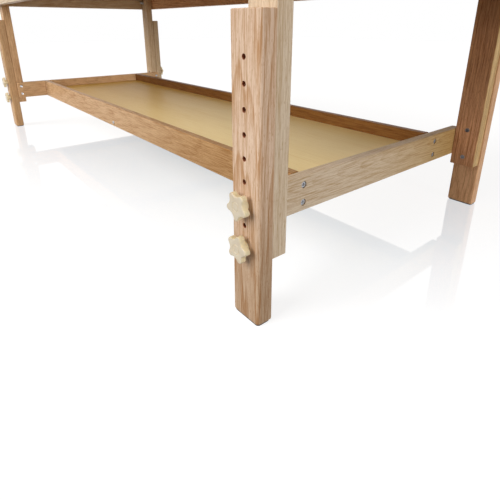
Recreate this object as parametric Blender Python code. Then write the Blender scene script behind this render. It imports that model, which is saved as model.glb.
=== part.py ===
"""Stationary wooden massage table: telescoping drilled legs, a shelf tray and a padded top.

Metres, +Z up. X runs along the table, Y across it, and the origin is on the floor under its middle.
Each leg is two boards: the upper leg is fixed in a corner of the top frame, and the drilled lower leg
slides along its outer face. Two star knobs per leg clamp the boards through threaded studs.
"""

import math

import bmesh
import bpy
from mathutils import Matrix, Vector

# Clearances
SEAT_GAP = 0.0003  # between pieces that rest on or fit in each other
SLIDE_GAP = 0.0004  # between the two boards of a leg
BORE_GAP = 0.0003  # round a shank in its hole

# Legs
LEG_SPAN_X = 1.565  # over the upper legs' end faces
LEG_SPAN_Y = 0.6628  # over the lower legs' outer faces
UPPER_WIDTH = 0.050  # along X
LOWER_WIDTH = 0.055
LOWER_THICK = 0.026
LOWER_LENGTH = 0.4025
LOWER_OUTER_ROUND = 0.005  # upright edges of the outer face
LOWER_INNER_ROUND = 0.0025  # upright edges against the upper leg
LOWER_FOOT_ROUND = 0.0024  # edges of the foot end
LOWER_TOP_ROUND = 0.0015
UPPER_THICK = 0.025
UPPER_ROUND = 0.0025
UPPER_END_ROUND = 0.0015
UPPER_TAIL = 0.0191  # upper leg below its lower stud
FOOT_THICK = 0.003
FOOT_INSET = 0.005
FOOT_ROUND = 0.003

# Height holes and knob screws
HOLE_PITCH = 0.030
HOLE_COUNT = 9
TOP_HOLE_DROP = 0.0506  # from the lower leg's top end to its top hole
KNOB_STEP = 2  # holes from the lower knob up to the upper one
STUD_RADIUS = 0.003
STUD_TIP_CHAMFER = 0.0008
STUD_IN_KNOB = 0.008
INSERT_LENGTH = 0.012
INSERT_WALL = 0.0008
INSERT_FLANGE = 0.0004  # how far the flange stands past the sleeve, and its thickness
KNOB_LOBES = 5
KNOB_RADIUS = 0.0198  # over the lobes' tips
KNOB_LOBE_RADIUS = 0.005
KNOB_VALLEY = 0.014  # from the axis to the bottom of a valley
KNOB_HEAD = 0.0085
KNOB_HUB = 0.0057
KNOB_HUB_RADIUS = 0.0092
KNOB_EDGE_ROUND = 0.0012
KNOB_DISC_RADIUS = 0.0066  # shallow round recess in the knob's face
KNOB_DISC_DEPTH = 0.0004
KNOB_TURN_UPPER = math.radians(53)
KNOB_TURN_LOWER = math.radians(4)
KNOB_TURN_STEP = math.radians(17)  # further turn from one leg to the next

# Shelf tray
RAIL_HEIGHT = 0.058
RAIL_ROUND = 0.002
END_RAIL_THICK = 0.020
LONG_RAIL_THICK = 0.018
LONG_RAIL_INSET = 0.0755  # from the upper legs' inner faces to the long rails
TRAY_LIFT = 0.0204  # from the upper legs' lower ends to the rails
PANEL_THICK = 0.006
PANEL_DROP = 0.028  # from the rails' top to the panel's face
GROOVE_DEPTH = 0.006
BATTEN_WIDTH = 0.030
FIXING_INSET = 0.0145  # of bolts and screws from a rail's upper and lower edges
CORNER_BOLT_RADIUS = 0.003
CORNER_BOLT_BITE = 0.040
CORNER_HEAD_RADIUS = 0.0052
CORNER_HEAD_THICK = 0.004
CORNER_SINK = 0.006
RAIL_SCREW_RADIUS = 0.0022
RAIL_SCREW_BITE = 0.015
BATTEN_SCREW_RADIUS = 0.0022
BATTEN_SCREW_BITE = 0.025
BATTEN_SCREW_HEAD_RADIUS = 0.0044
BATTEN_SCREW_HEAD_THICK = 0.0026

# Top frame
LEG_HEADROOM = 0.0497  # from the lower legs' top ends to the aprons
APRON_HEIGHT = 0.090
APRON_THICK = 0.022
APRON_ROUND = 0.003
LEG_BOLT_INSET = 0.0155  # from the nearer edge of the leg
LEG_BOLT_LOW = 0.029  # above the apron's lower edge
LEG_BOLT_HIGH = 0.073
LEG_BOLT_RADIUS = 0.004
CROSS_RAIL_X = 0.300
CROSS_RAIL_WIDTH = 0.060
CROSS_RAIL_THICK = 0.022

# Deck and padded top
PAD_OVERHANG_END = 0.1202  # past the end aprons
PAD_OVERHANG_SIDE = 0.0227  # past the long aprons
PAD_THICK = 0.070
PAD_CORNER = 0.070
PAD_TOP_ROUND = 0.026
PAD_BOTTOM_ROUND = 0.008
PAD_CROWN = 0.005
PAD_WAIST = 0.003  # how far each side draws in between the corners
PAD_WRAP = 0.012  # foam and cover round the deck's edge
DECK_THICK = 0.010

# Facets of round forms
HOLE_SIDES = 12
SHANK_SIDES = 8
DISC_SIDES = 16
LOBE_STEPS = 4
VALLEY_STEPS = 2
PAD_CORNER_STEPS = 6
PAD_SIDE_STEPS = 10
PAD_END_STEPS = 4
PAD_TOP_EDGE_STEPS = 4
PAD_BOTTOM_EDGE_STEPS = 2
PAD_TOP_RINGS = 4

# Places along X
LEG_END_X = LEG_SPAN_X / 2
LEG_MID_X = LEG_END_X - UPPER_WIDTH / 2
LEG_INNER_X = LEG_END_X - UPPER_WIDTH
END_RAIL_OUTER_X = LEG_INNER_X - SEAT_GAP
END_RAIL_INNER_X = END_RAIL_OUTER_X - END_RAIL_THICK
LONG_RAIL_END_X = END_RAIL_INNER_X - SEAT_GAP
END_APRON_INNER_X = LEG_END_X + SEAT_GAP
END_APRON_OUTER_X = END_APRON_INNER_X + APRON_THICK
PAD_END_X = END_APRON_OUTER_X + PAD_OVERHANG_END

# Places along Y
LOWER_OUTER_Y = LEG_SPAN_Y / 2
LOWER_INNER_Y = LOWER_OUTER_Y - LOWER_THICK
LOWER_MID_Y = LOWER_OUTER_Y - LOWER_THICK / 2
UPPER_OUTER_Y = LOWER_INNER_Y - SLIDE_GAP
UPPER_INNER_Y = UPPER_OUTER_Y - UPPER_THICK
UPPER_MID_Y = UPPER_OUTER_Y - UPPER_THICK / 2
LONG_RAIL_OUTER_Y = UPPER_INNER_Y - LONG_RAIL_INSET
LONG_RAIL_INNER_Y = LONG_RAIL_OUTER_Y - LONG_RAIL_THICK
LONG_RAIL_MID_Y = LONG_RAIL_OUTER_Y - LONG_RAIL_THICK / 2
BATTEN_END_Y = LONG_RAIL_INNER_Y - SEAT_GAP
LONG_APRON_INNER_Y = UPPER_OUTER_Y + SEAT_GAP
LONG_APRON_OUTER_Y = LONG_APRON_INNER_Y + APRON_THICK
CROSS_RAIL_END_Y = LONG_APRON_INNER_Y - SEAT_GAP
PAD_SIDE_Y = LONG_APRON_OUTER_Y + PAD_OVERHANG_SIDE

# Heights
LOWER_BOTTOM_Z = FOOT_THICK + SEAT_GAP
LOWER_TOP_Z = LOWER_BOTTOM_Z + LOWER_LENGTH
TOP_HOLE_Z = LOWER_TOP_Z - TOP_HOLE_DROP
LOW_STUD_Z = TOP_HOLE_Z - HOLE_PITCH * (HOLE_COUNT - 1)
HIGH_STUD_Z = LOW_STUD_Z + HOLE_PITCH * KNOB_STEP
UPPER_BOTTOM_Z = LOW_STUD_Z - UPPER_TAIL
RAIL_BOTTOM_Z = UPPER_BOTTOM_Z + TRAY_LIFT
RAIL_TOP_Z = RAIL_BOTTOM_Z + RAIL_HEIGHT
PANEL_TOP_Z = RAIL_TOP_Z - PANEL_DROP
PANEL_BOTTOM_Z = PANEL_TOP_Z - PANEL_THICK
BATTEN_TOP_Z = PANEL_BOTTOM_Z - SEAT_GAP
BATTEN_MID_Z = (RAIL_BOTTOM_Z + BATTEN_TOP_Z) / 2
APRON_BOTTOM_Z = LOWER_TOP_Z + LEG_HEADROOM
APRON_TOP_Z = APRON_BOTTOM_Z + APRON_HEIGHT
DECK_BOTTOM_Z = APRON_TOP_Z + SEAT_GAP

# Radii of bores
STUD_BORE = STUD_RADIUS + BORE_GAP
INSERT_RADIUS = STUD_BORE + INSERT_WALL
CORNER_BOLT_BORE = CORNER_BOLT_RADIUS + BORE_GAP
RAIL_SCREW_BORE = RAIL_SCREW_RADIUS + BORE_GAP
BATTEN_SCREW_BORE = BATTEN_SCREW_RADIUS + BORE_GAP
LEG_BOLT_BORE = LEG_BOLT_RADIUS + BORE_GAP

# Signs of X and Y at each leg, end and side, and the heights of paired pieces
LEGS = {
    "front_right": (1, -1),
    "front_left": (-1, -1),
    "rear_right": (1, 1),
    "rear_left": (-1, 1),
}
ENDS = {"left": -1, "right": 1}
SIDES = {"front": -1, "rear": 1}
KNOB_HEIGHTS = {"lower": LOW_STUD_Z, "upper": HIGH_STUD_Z}
KNOB_TURNS = {"lower": KNOB_TURN_LOWER, "upper": KNOB_TURN_UPPER}
FIXING_HEIGHTS = {"lower": RAIL_BOTTOM_Z + FIXING_INSET, "upper": RAIL_TOP_Z - FIXING_INSET}


# Scene and finishes


def clear_scene():
    for obj in list(bpy.data.objects):
        bpy.data.objects.remove(obj, do_unlink=True)


def finish(name, colour, roughness, metallic=0.0):
    material = bpy.data.materials.new(name)
    material.use_nodes = True
    shader = material.node_tree.nodes["Principled BSDF"]
    shader.inputs["Base Color"].default_value = (*colour, 1.0)
    shader.inputs["Roughness"].default_value = roughness
    shader.inputs["Metallic"].default_value = metallic
    return material


def make_finishes():
    return {
        "leg_wood": finish("leg_wood", (0.56, 0.37, 0.22), 0.42),
        "rail_wood": finish("rail_wood", (0.50, 0.31, 0.18), 0.42),
        "panel_wood": finish("panel_wood", (0.58, 0.42, 0.22), 0.30),
        "cream_plastic": finish("cream_plastic", (0.68, 0.58, 0.42), 0.38),
        "zinc": finish("zinc", (0.62, 0.62, 0.63), 0.32, 1.0),
        "felt": finish("felt", (0.05, 0.045, 0.04), 0.95),
        "upholstery": finish("upholstery", (0.70, 0.63, 0.52), 0.50),
    }


# Making pieces


def mesh_from(bm, name, smooth=False):
    bmesh.ops.recalc_face_normals(bm, faces=bm.faces)
    mesh = bpy.data.meshes.new(name)
    bm.to_mesh(mesh)
    bm.free()
    if smooth:
        mesh.shade_smooth()
        mesh.set_sharp_from_angle(angle=math.radians(35))
    return mesh


def add_piece(name, mesh, material, root, location=(0, 0, 0), rotation=None):
    obj = bpy.data.objects.new(name, mesh)
    obj.location = location
    if rotation is not None:
        obj.rotation_mode = "QUATERNION"
        obj.rotation_quaternion = rotation
    obj.parent = root
    if not mesh.materials:
        mesh.materials.append(material)
    bpy.context.scene.collection.objects.link(obj)
    return obj


def add_helper(name, bm):
    """A cutter or pattern that shapes other pieces and isn't one itself."""
    helper = bpy.data.objects.new(name, mesh_from(bm, name))
    helper.hide_render = True
    helper.display_type = "WIRE"
    bpy.context.scene.collection.objects.link(helper)
    return helper


def combine(obj, operation, name, bm):
    """Cuts the closed solids of a bmesh out of an object, or joins them to it. They are in world places."""
    modifier = obj.modifiers.new(name, "BOOLEAN")
    modifier.operation = operation
    modifier.solver = "EXACT"
    modifier.object = add_helper(f"{obj.name}_{name}", bm)


def box_between(low, high, centred=False):
    """A box between two corners, or the same box with its middle at the origin."""
    size = Vector(high) - Vector(low)
    bm = bmesh.new()
    bmesh.ops.create_cube(bm, size=1.0)
    bmesh.ops.scale(bm, vec=size, verts=bm.verts)
    if not centred:
        bmesh.ops.translate(bm, verts=bm.verts, vec=Vector(low) + size / 2)
    return bm


def edges_along(bm, axis, keep=lambda middle: True):
    """Straight edges that run along one axis, and whose middle passes a test."""
    found = []
    for edge in bm.edges:
        start, stop = (vert.co for vert in edge.verts)
        run = stop - start
        if abs(run[axis]) > 0.999 * run.length and keep((start + stop) / 2):
            found.append(edge)
    return found


def edges_of_end(bm, sign):
    """Edges round the flat upper or lower end of an upright form."""
    ends = [face for face in bm.faces if sign * face.normal.z > 0.999]
    return list(max(ends, key=lambda face: sign * face.calc_center_median().z).edges)


def round_edges(bm, edges, radius, segments):
    bmesh.ops.bevel(bm, geom=edges, offset=radius, segments=segments, profile=0.5, affect="EDGES")
    bm.normal_update()


def board(name, low, high, material, root, run_axis, radius):
    """A sawn board between two corners, its long edges eased."""
    bm = box_between(low, high, centred=True)
    round_edges(bm, edges_along(bm, run_axis), radius, 2)
    middle = (Vector(low) + Vector(high)) / 2
    return add_piece(name, mesh_from(bm, name), material, root, middle)


def pointing(place, direction):
    """The matrix that turns +Z to a direction and moves the origin to a place."""
    turn = Vector((0, 0, 1)).rotation_difference(Vector(direction))
    return Matrix.Translation(place) @ turn.to_matrix().to_4x4()


def add_turned(bm, profile, sides, matrix=None):
    """A turned form. Its (radius, height) profile starts and ends on the axis, or else closes on itself."""
    matrix = matrix or Matrix()
    rows = []
    for radius, height in profile:
        row = []
        for index in range(sides if radius > 0 else 1):
            angle = 2 * math.pi * index / sides
            point = Vector((radius * math.cos(angle), radius * math.sin(angle), height))
            row.append(bm.verts.new(matrix @ point))
        rows.append(row)
    pairs = list(zip(rows, rows[1:]))
    if profile[0][0] > 0:
        pairs.append((rows[-1], rows[0]))
    for first, second in pairs:
        for index in range(sides):
            after = (index + 1) % sides
            corners = (
                first[index % len(first)],
                first[after % len(first)],
                second[after % len(second)],
                second[index % len(second)],
            )
            bm.faces.new(dict.fromkeys(corners))


def turned_mesh(name, profile, sides, material):
    bm = bmesh.new()
    add_turned(bm, profile, sides)
    mesh = mesh_from(bm, name, smooth=True)
    mesh.materials.append(material)
    return mesh


def rod_profile(radius, low, high):
    return [(0, low), (radius, low), (radius, high), (0, high)]


def fastener_profile(head_radius, head_thick, shank_radius, length):
    """A headed fastener: the head's seat at height 0, the head above it and the shank below."""
    crown_radius = head_radius - head_thick / 2
    return [
        (0, head_thick),
        (crown_radius, head_thick),
        (head_radius, head_thick / 2),
        (head_radius, 0),
        (shank_radius, 0),
        (shank_radius, -length),
        (0, -length),
    ]


def drill(obj, holes, name="holes"):
    """Round holes, each given by its mouth, its direction into the piece, its radius and its depth."""
    bm = bmesh.new()
    for mouth, direction, radius, depth in holes:
        add_turned(bm, rod_profile(radius, -depth, depth), HOLE_SIDES, pointing(mouth, direction))
    combine(obj, "DIFFERENCE", name, bm)


# Legs


def stud_line(leg, z):
    """A point on a stud's axis in the plane of the lower leg's outer face, and the outward direction."""
    end, side = LEGS[leg]
    return Vector((end * LEG_MID_X, side * LOWER_OUTER_Y, z)), Vector((0, side, 0))


def leg_bolt_lines(leg):
    """Where each bolt of a leg meets the long apron's outer face, and the outward direction."""
    end, side = LEGS[leg]
    low_x = end * (LEG_END_X - LEG_BOLT_INSET)
    high_x = end * (LEG_INNER_X + LEG_BOLT_INSET)
    y = side * LONG_APRON_OUTER_Y
    low = Vector((low_x, y, APRON_BOTTOM_Z + LEG_BOLT_LOW))
    high = Vector((high_x, y, APRON_BOTTOM_Z + LEG_BOLT_HIGH))
    outward = Vector((0, side, 0))
    return [(low, outward), (high, outward)]


def make_lower_leg(leg, finishes, root):
    """The drilled board: round outer edges, eased inner ones, and a row of height holes."""
    end, side = LEGS[leg]
    half = Vector((LOWER_WIDTH, LOWER_THICK, LOWER_LENGTH)) / 2
    bm = box_between(-half, half)
    outer = edges_along(bm, 2, lambda middle: middle.y * side > 0)
    round_edges(bm, outer, LOWER_OUTER_ROUND, 3)
    inner = edges_along(bm, 2, lambda middle: middle.y * side < SEAT_GAP - half.y)
    round_edges(bm, inner, LOWER_INNER_ROUND, 1)
    round_edges(bm, edges_of_end(bm, -1), LOWER_FOOT_ROUND, 2)
    round_edges(bm, edges_of_end(bm, 1), LOWER_TOP_ROUND, 1)
    name = "lower_leg_" + leg
    place = (end * LEG_MID_X, side * LOWER_MID_Y, LOWER_BOTTOM_Z + half.z)
    obj = add_piece(name, mesh_from(bm, name), finishes["leg_wood"], root, place)
    holes = []
    for index in range(HOLE_COUNT):
        mouth, outward = stud_line(leg, TOP_HOLE_Z - HOLE_PITCH * index)
        holes.append((mouth, -outward, STUD_BORE, LOWER_THICK + SLIDE_GAP / 2))
    drill(obj, holes)


def make_upper_leg(leg, finishes, root):
    """The fixed board, bored for the knob studs and their inserts, the leg bolts and the tray's screws."""
    end, side = LEGS[leg]
    half = Vector((UPPER_WIDTH, UPPER_THICK, APRON_TOP_Z - UPPER_BOTTOM_Z)) / 2
    bm = box_between(-half, half)
    round_edges(bm, edges_along(bm, 2), UPPER_ROUND, 2)
    round_edges(bm, edges_of_end(bm, -1), UPPER_END_ROUND, 1)
    name = "upper_leg_" + leg
    place = (end * LEG_MID_X, side * UPPER_MID_Y, UPPER_BOTTOM_Z + half.z)
    obj = add_piece(name, mesh_from(bm, name), finishes["leg_wood"], root, place)
    through = UPPER_THICK + SLIDE_GAP / 2
    bores, seats = [], []
    for z in KNOB_HEIGHTS.values():
        mouth = Vector((end * LEG_MID_X, side * UPPER_INNER_Y, z))
        outward = Vector((0, side, 0))
        bores.append((mouth, outward, STUD_BORE, through))
        seats.append((mouth, outward, INSERT_RADIUS + BORE_GAP, INSERT_LENGTH + SEAT_GAP))
    for place, outward in leg_bolt_lines(leg):
        mouth = Vector((place.x, side * UPPER_OUTER_Y, place.z))
        bores.append((mouth, -outward, LEG_BOLT_BORE, through))
    for z in FIXING_HEIGHTS.values():
        mouth = Vector((end * LEG_INNER_X, side * UPPER_MID_Y, z))
        bores.append((mouth, Vector((end, 0, 0)), RAIL_SCREW_BORE, RAIL_SCREW_BITE))
    drill(obj, bores)
    drill(obj, seats, "insert_seats")


def make_foot_pad(leg, finishes, root):
    end, side = LEGS[leg]
    half = Vector((LOWER_WIDTH / 2 - FOOT_INSET, LOWER_THICK / 2 - FOOT_INSET, FOOT_THICK / 2))
    bm = box_between(-half, half)
    round_edges(bm, edges_along(bm, 2), FOOT_ROUND, 2)
    name = "foot_pad_" + leg
    place = (end * LEG_MID_X, side * LOWER_MID_Y, half.z)
    add_piece(name, mesh_from(bm, name), finishes["felt"], root, place)


# Knob screws


def knob_outline():
    """Star outline: round lobes joined by hollow valleys, each arc tangent to the next."""
    reach = KNOB_RADIUS - KNOB_LOBE_RADIUS
    half = math.pi / KNOB_LOBES
    square = reach**2 + KNOB_VALLEY**2 - 2 * reach * KNOB_VALLEY * math.cos(half) - KNOB_LOBE_RADIUS**2
    valley_radius = square / 2 / (KNOB_LOBE_RADIUS + reach * math.cos(half) - KNOB_VALLEY)
    valley_reach = KNOB_VALLEY + valley_radius
    lobe = Vector((reach, 0))
    valley = valley_reach * Vector((math.cos(half), math.sin(half)))
    lobe_swing = math.atan2(valley.y - lobe.y, valley.x - lobe.x)
    valley_swing = lobe_swing - half
    points = []
    for index in range(KNOB_LOBES):
        turn = Matrix.Rotation(2 * half * index, 2)
        for step in range(LOBE_STEPS + 1):
            angle = lobe_swing * (2 * step / LOBE_STEPS - 1)
            points.append(turn @ (lobe + KNOB_LOBE_RADIUS * Vector((math.cos(angle), math.sin(angle)))))
        for step in range(1, VALLEY_STEPS):
            angle = half + math.pi + valley_swing * (1 - 2 * step / VALLEY_STEPS)
            points.append(turn @ (valley + valley_radius * Vector((math.cos(angle), math.sin(angle)))))
    return points


def make_knob_mesh(finishes):
    """One knob with its axis along +Z and its hub's back at the origin."""
    top = KNOB_HUB + KNOB_HEAD
    bm = bmesh.new()
    back = bm.faces.new([bm.verts.new((point.x, point.y, KNOB_HUB)) for point in knob_outline()])
    grown = bmesh.ops.extrude_face_region(bm, geom=[back], use_keep_orig=True)
    raised = [item for item in grown["geom"] if isinstance(item, bmesh.types.BMVert)]
    bmesh.ops.translate(bm, verts=raised, vec=(0, 0, KNOB_HEAD))
    bmesh.ops.recalc_face_normals(bm, faces=bm.faces)
    round_edges(bm, edges_of_end(bm, 1), KNOB_EDGE_ROUND, 2)
    pattern = add_helper("knob_pattern", bm)
    hub = bmesh.new()
    add_turned(hub, rod_profile(KNOB_HUB_RADIUS, 0, KNOB_HUB + KNOB_EDGE_ROUND), DISC_SIDES)
    combine(pattern, "UNION", "hub", hub)
    hollows = bmesh.new()
    depth = STUD_IN_KNOB + SEAT_GAP
    add_turned(hollows, rod_profile(STUD_BORE, -depth, depth), HOLE_SIDES)
    disc = rod_profile(KNOB_DISC_RADIUS, top - KNOB_DISC_DEPTH, top + KNOB_DISC_DEPTH)
    add_turned(hollows, disc, DISC_SIDES)
    combine(pattern, "DIFFERENCE", "hollows", hollows)
    bpy.context.view_layer.update()
    graph = bpy.context.evaluated_depsgraph_get()
    mesh = bpy.data.meshes.new_from_object(pattern.evaluated_get(graph))
    mesh.name = "star_knob"
    mesh.materials.clear()
    mesh.materials.append(finishes["cream_plastic"])
    mesh.shade_smooth()
    mesh.set_sharp_from_angle(angle=math.radians(35))
    return mesh


def make_stud_mesh(finishes):
    """One stud along +Z: the lower leg's outer face is at the origin, and the outer end sits in the knob."""
    tip = -(LOWER_THICK + SLIDE_GAP + UPPER_THICK + INSERT_FLANGE)
    profile = [
        (0, STUD_IN_KNOB),
        (STUD_RADIUS, STUD_IN_KNOB),
        (STUD_RADIUS, tip + STUD_TIP_CHAMFER),
        (STUD_RADIUS - STUD_TIP_CHAMFER, tip),
        (0, tip),
    ]
    return turned_mesh("stud", profile, SHANK_SIDES, finishes["zinc"])


def make_insert_mesh(finishes):
    """One flanged threaded sleeve along +Z, the upper leg's inner face at the origin."""
    flange_radius = INSERT_RADIUS + INSERT_FLANGE
    profile = [
        (STUD_BORE, SEAT_GAP + INSERT_FLANGE),
        (flange_radius, SEAT_GAP + INSERT_FLANGE),
        (flange_radius, SEAT_GAP),
        (INSERT_RADIUS, SEAT_GAP),
        (INSERT_RADIUS, -INSERT_LENGTH),
        (STUD_BORE, -INSERT_LENGTH),
    ]
    return turned_mesh("insert_nut", profile, HOLE_SIDES, finishes["zinc"])


def make_knob_screws(finishes, root):
    """At each knob: the star knob, its stud, and the insert nut that the stud screws into."""
    knob_mesh = make_knob_mesh(finishes)
    stud_mesh = make_stud_mesh(finishes)
    insert_mesh = make_insert_mesh(finishes)
    for order, (leg, (end, side)) in enumerate(LEGS.items()):
        for level, z in KNOB_HEIGHTS.items():
            tag = f"{leg}_{level}"
            place, outward = stud_line(leg, z)
            facing = pointing(place, outward).to_quaternion()
            add_piece("stud_" + tag, stud_mesh, finishes["zinc"], root, place, facing)
            turn = KNOB_TURNS[level] + KNOB_TURN_STEP * order
            spin = Matrix.Rotation(turn, 4, "Z").to_quaternion()
            seat = place + outward * SEAT_GAP
            add_piece("star_knob_" + tag, knob_mesh, finishes["cream_plastic"], root, seat, facing @ spin)
            inner = Vector((end * LEG_MID_X, side * UPPER_INNER_Y, z))
            inward = pointing(inner, -outward).to_quaternion()
            add_piece("insert_nut_" + tag, insert_mesh, finishes["zinc"], root, inner, inward)


# Shelf tray


def make_end_rail(end_name, finishes, root):
    """Lapped on the legs' inner narrow faces, grooved for the panel, with sunk holes for the corner bolts."""
    end = ENDS[end_name]
    low_x, high_x = sorted((end * END_RAIL_INNER_X, end * END_RAIL_OUTER_X))
    low = (low_x, -UPPER_OUTER_Y, RAIL_BOTTOM_Z)
    high = (high_x, UPPER_OUTER_Y, RAIL_TOP_Z)
    rail = board("tray_end_rail_" + end_name, low, high, finishes["rail_wood"], root, 1, RAIL_ROUND)
    depth = GROOVE_DEPTH + SEAT_GAP
    low_x, high_x = sorted((end * (END_RAIL_INNER_X - depth), end * (END_RAIL_INNER_X + depth)))
    reach = LONG_RAIL_INNER_Y + depth
    low = (low_x, -reach, PANEL_BOTTOM_Z - SEAT_GAP)
    high = (high_x, reach, PANEL_TOP_Z + SEAT_GAP)
    combine(rail, "DIFFERENCE", "groove", box_between(low, high))
    inward = Vector((-end, 0, 0))
    bores, sinks = [], []
    for z in FIXING_HEIGHTS.values():
        for side in SIDES.values():
            corner = Vector((end * END_RAIL_OUTER_X, side * LONG_RAIL_MID_Y, z))
            lap = Vector((end * END_RAIL_OUTER_X, side * UPPER_MID_Y, z))
            bores.append((corner, inward, CORNER_BOLT_BORE, END_RAIL_THICK + SEAT_GAP / 2))
            bores.append((lap, inward, RAIL_SCREW_BORE, END_RAIL_THICK + SEAT_GAP / 2))
            sinks.append((corner, inward, CORNER_HEAD_RADIUS + BORE_GAP, CORNER_SINK))
    drill(rail, bores)
    drill(rail, sinks, "sinks")


def make_long_rail(side_name, finishes, root):
    """Between the end rails, grooved for the panel, its ends bored for the corner bolts."""
    side = SIDES[side_name]
    low_y, high_y = sorted((side * LONG_RAIL_INNER_Y, side * LONG_RAIL_OUTER_Y))
    low = (-LONG_RAIL_END_X, low_y, RAIL_BOTTOM_Z)
    high = (LONG_RAIL_END_X, high_y, RAIL_TOP_Z)
    rail = board("tray_long_rail_" + side_name, low, high, finishes["rail_wood"], root, 0, RAIL_ROUND)
    depth = GROOVE_DEPTH + SEAT_GAP
    low_y, high_y = sorted((side * (LONG_RAIL_INNER_Y - depth), side * (LONG_RAIL_INNER_Y + depth)))
    low = (-LONG_RAIL_END_X - depth, low_y, PANEL_BOTTOM_Z - SEAT_GAP)
    high = (LONG_RAIL_END_X + depth, high_y, PANEL_TOP_Z + SEAT_GAP)
    combine(rail, "DIFFERENCE", "groove", box_between(low, high))
    bores = []
    for end in ENDS.values():
        for z in FIXING_HEIGHTS.values():
            mouth = Vector((end * LONG_RAIL_END_X, side * LONG_RAIL_MID_Y, z))
            bores.append((mouth, Vector((-end, 0, 0)), CORNER_BOLT_BORE, CORNER_BOLT_BITE + SEAT_GAP))
    mouth = Vector((0, side * LONG_RAIL_OUTER_Y, BATTEN_MID_Z))
    bores.append((mouth, Vector((0, -side, 0)), BATTEN_SCREW_BORE, LONG_RAIL_THICK + SEAT_GAP / 2))
    drill(rail, bores)


def make_panel(finishes, root):
    half_x = END_RAIL_INNER_X + GROOVE_DEPTH
    half_y = LONG_RAIL_INNER_Y + GROOVE_DEPTH
    half = Vector((half_x, half_y, PANEL_THICK / 2))
    place = (0, 0, PANEL_TOP_Z - half.z)
    mesh = mesh_from(box_between(-half, half), "tray_panel")
    add_piece("tray_panel", mesh, finishes["panel_wood"], root, place)


def make_batten(finishes, root):
    low = (-BATTEN_WIDTH / 2, -BATTEN_END_Y, RAIL_BOTTOM_Z)
    high = (BATTEN_WIDTH / 2, BATTEN_END_Y, BATTEN_TOP_Z)
    batten = board("tray_batten", low, high, finishes["rail_wood"], root, 1, RAIL_ROUND)
    bores = []
    for side in SIDES.values():
        mouth = Vector((0, side * BATTEN_END_Y, BATTEN_MID_Z))
        bores.append((mouth, Vector((0, -side, 0)), BATTEN_SCREW_BORE, BATTEN_SCREW_BITE + SEAT_GAP))
    drill(batten, bores)


def make_tray_fasteners(finishes, root):
    zinc = finishes["zinc"]
    length = END_RAIL_THICK - CORNER_SINK + SEAT_GAP + SEAT_GAP + CORNER_BOLT_BITE
    profile = fastener_profile(CORNER_HEAD_RADIUS, CORNER_HEAD_THICK, CORNER_BOLT_RADIUS, length)
    bolt_mesh = turned_mesh("corner_bolt", profile, SHANK_SIDES, zinc)
    seat_x = END_RAIL_OUTER_X - CORNER_SINK + SEAT_GAP
    for leg, (end, side) in LEGS.items():
        for level, z in FIXING_HEIGHTS.items():
            place = (end * seat_x, side * LONG_RAIL_MID_Y, z)
            facing = pointing(place, (end, 0, 0)).to_quaternion()
            add_piece(f"corner_bolt_{leg}_{level}", bolt_mesh, zinc, root, place, facing)
    length = SEAT_GAP + LONG_RAIL_THICK + SEAT_GAP + BATTEN_SCREW_BITE
    profile = fastener_profile(BATTEN_SCREW_HEAD_RADIUS, BATTEN_SCREW_HEAD_THICK, BATTEN_SCREW_RADIUS, length)
    screw_mesh = turned_mesh("batten_screw", profile, SHANK_SIDES, zinc)
    for side_name, side in SIDES.items():
        place = (0, side * (LONG_RAIL_OUTER_Y + SEAT_GAP), BATTEN_MID_Z)
        facing = pointing(place, (0, side, 0)).to_quaternion()
        add_piece("batten_screw_" + side_name, screw_mesh, zinc, root, place, facing)


def make_tray(finishes, root):
    for end_name in ENDS:
        make_end_rail(end_name, finishes, root)
    for side_name in SIDES:
        make_long_rail(side_name, finishes, root)
    make_panel(finishes, root)
    make_batten(finishes, root)
    make_tray_fasteners(finishes, root)


# Top frame


def make_top_frame(finishes, root):
    """Long aprons outside the legs, end aprons between them, and flat cross rails under the deck."""
    wood = finishes["rail_wood"]
    for side_name, side in SIDES.items():
        low_y, high_y = sorted((side * LONG_APRON_INNER_Y, side * LONG_APRON_OUTER_Y))
        low = (-END_APRON_OUTER_X, low_y, APRON_BOTTOM_Z)
        high = (END_APRON_OUTER_X, high_y, APRON_TOP_Z)
        apron = board("long_apron_" + side_name, low, high, wood, root, 0, APRON_ROUND)
        bores = []
        for leg, signs in LEGS.items():
            if signs[1] == side:
                for place, outward in leg_bolt_lines(leg):
                    bores.append((place, -outward, LEG_BOLT_BORE, APRON_THICK + SEAT_GAP / 2))
        drill(apron, bores)
    for end_name, end in ENDS.items():
        low_x, high_x = sorted((end * END_APRON_INNER_X, end * END_APRON_OUTER_X))
        low = (low_x, -CROSS_RAIL_END_Y, APRON_BOTTOM_Z)
        high = (high_x, CROSS_RAIL_END_Y, APRON_TOP_Z)
        board("end_apron_" + end_name, low, high, wood, root, 1, APRON_ROUND)
        low = (end * CROSS_RAIL_X - CROSS_RAIL_WIDTH / 2, -CROSS_RAIL_END_Y, APRON_TOP_Z - CROSS_RAIL_THICK)
        high = (end * CROSS_RAIL_X + CROSS_RAIL_WIDTH / 2, CROSS_RAIL_END_Y, APRON_TOP_Z)
        board("cross_rail_" + end_name, low, high, wood, root, 1, RAIL_ROUND)


# Deck and padded top


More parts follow.
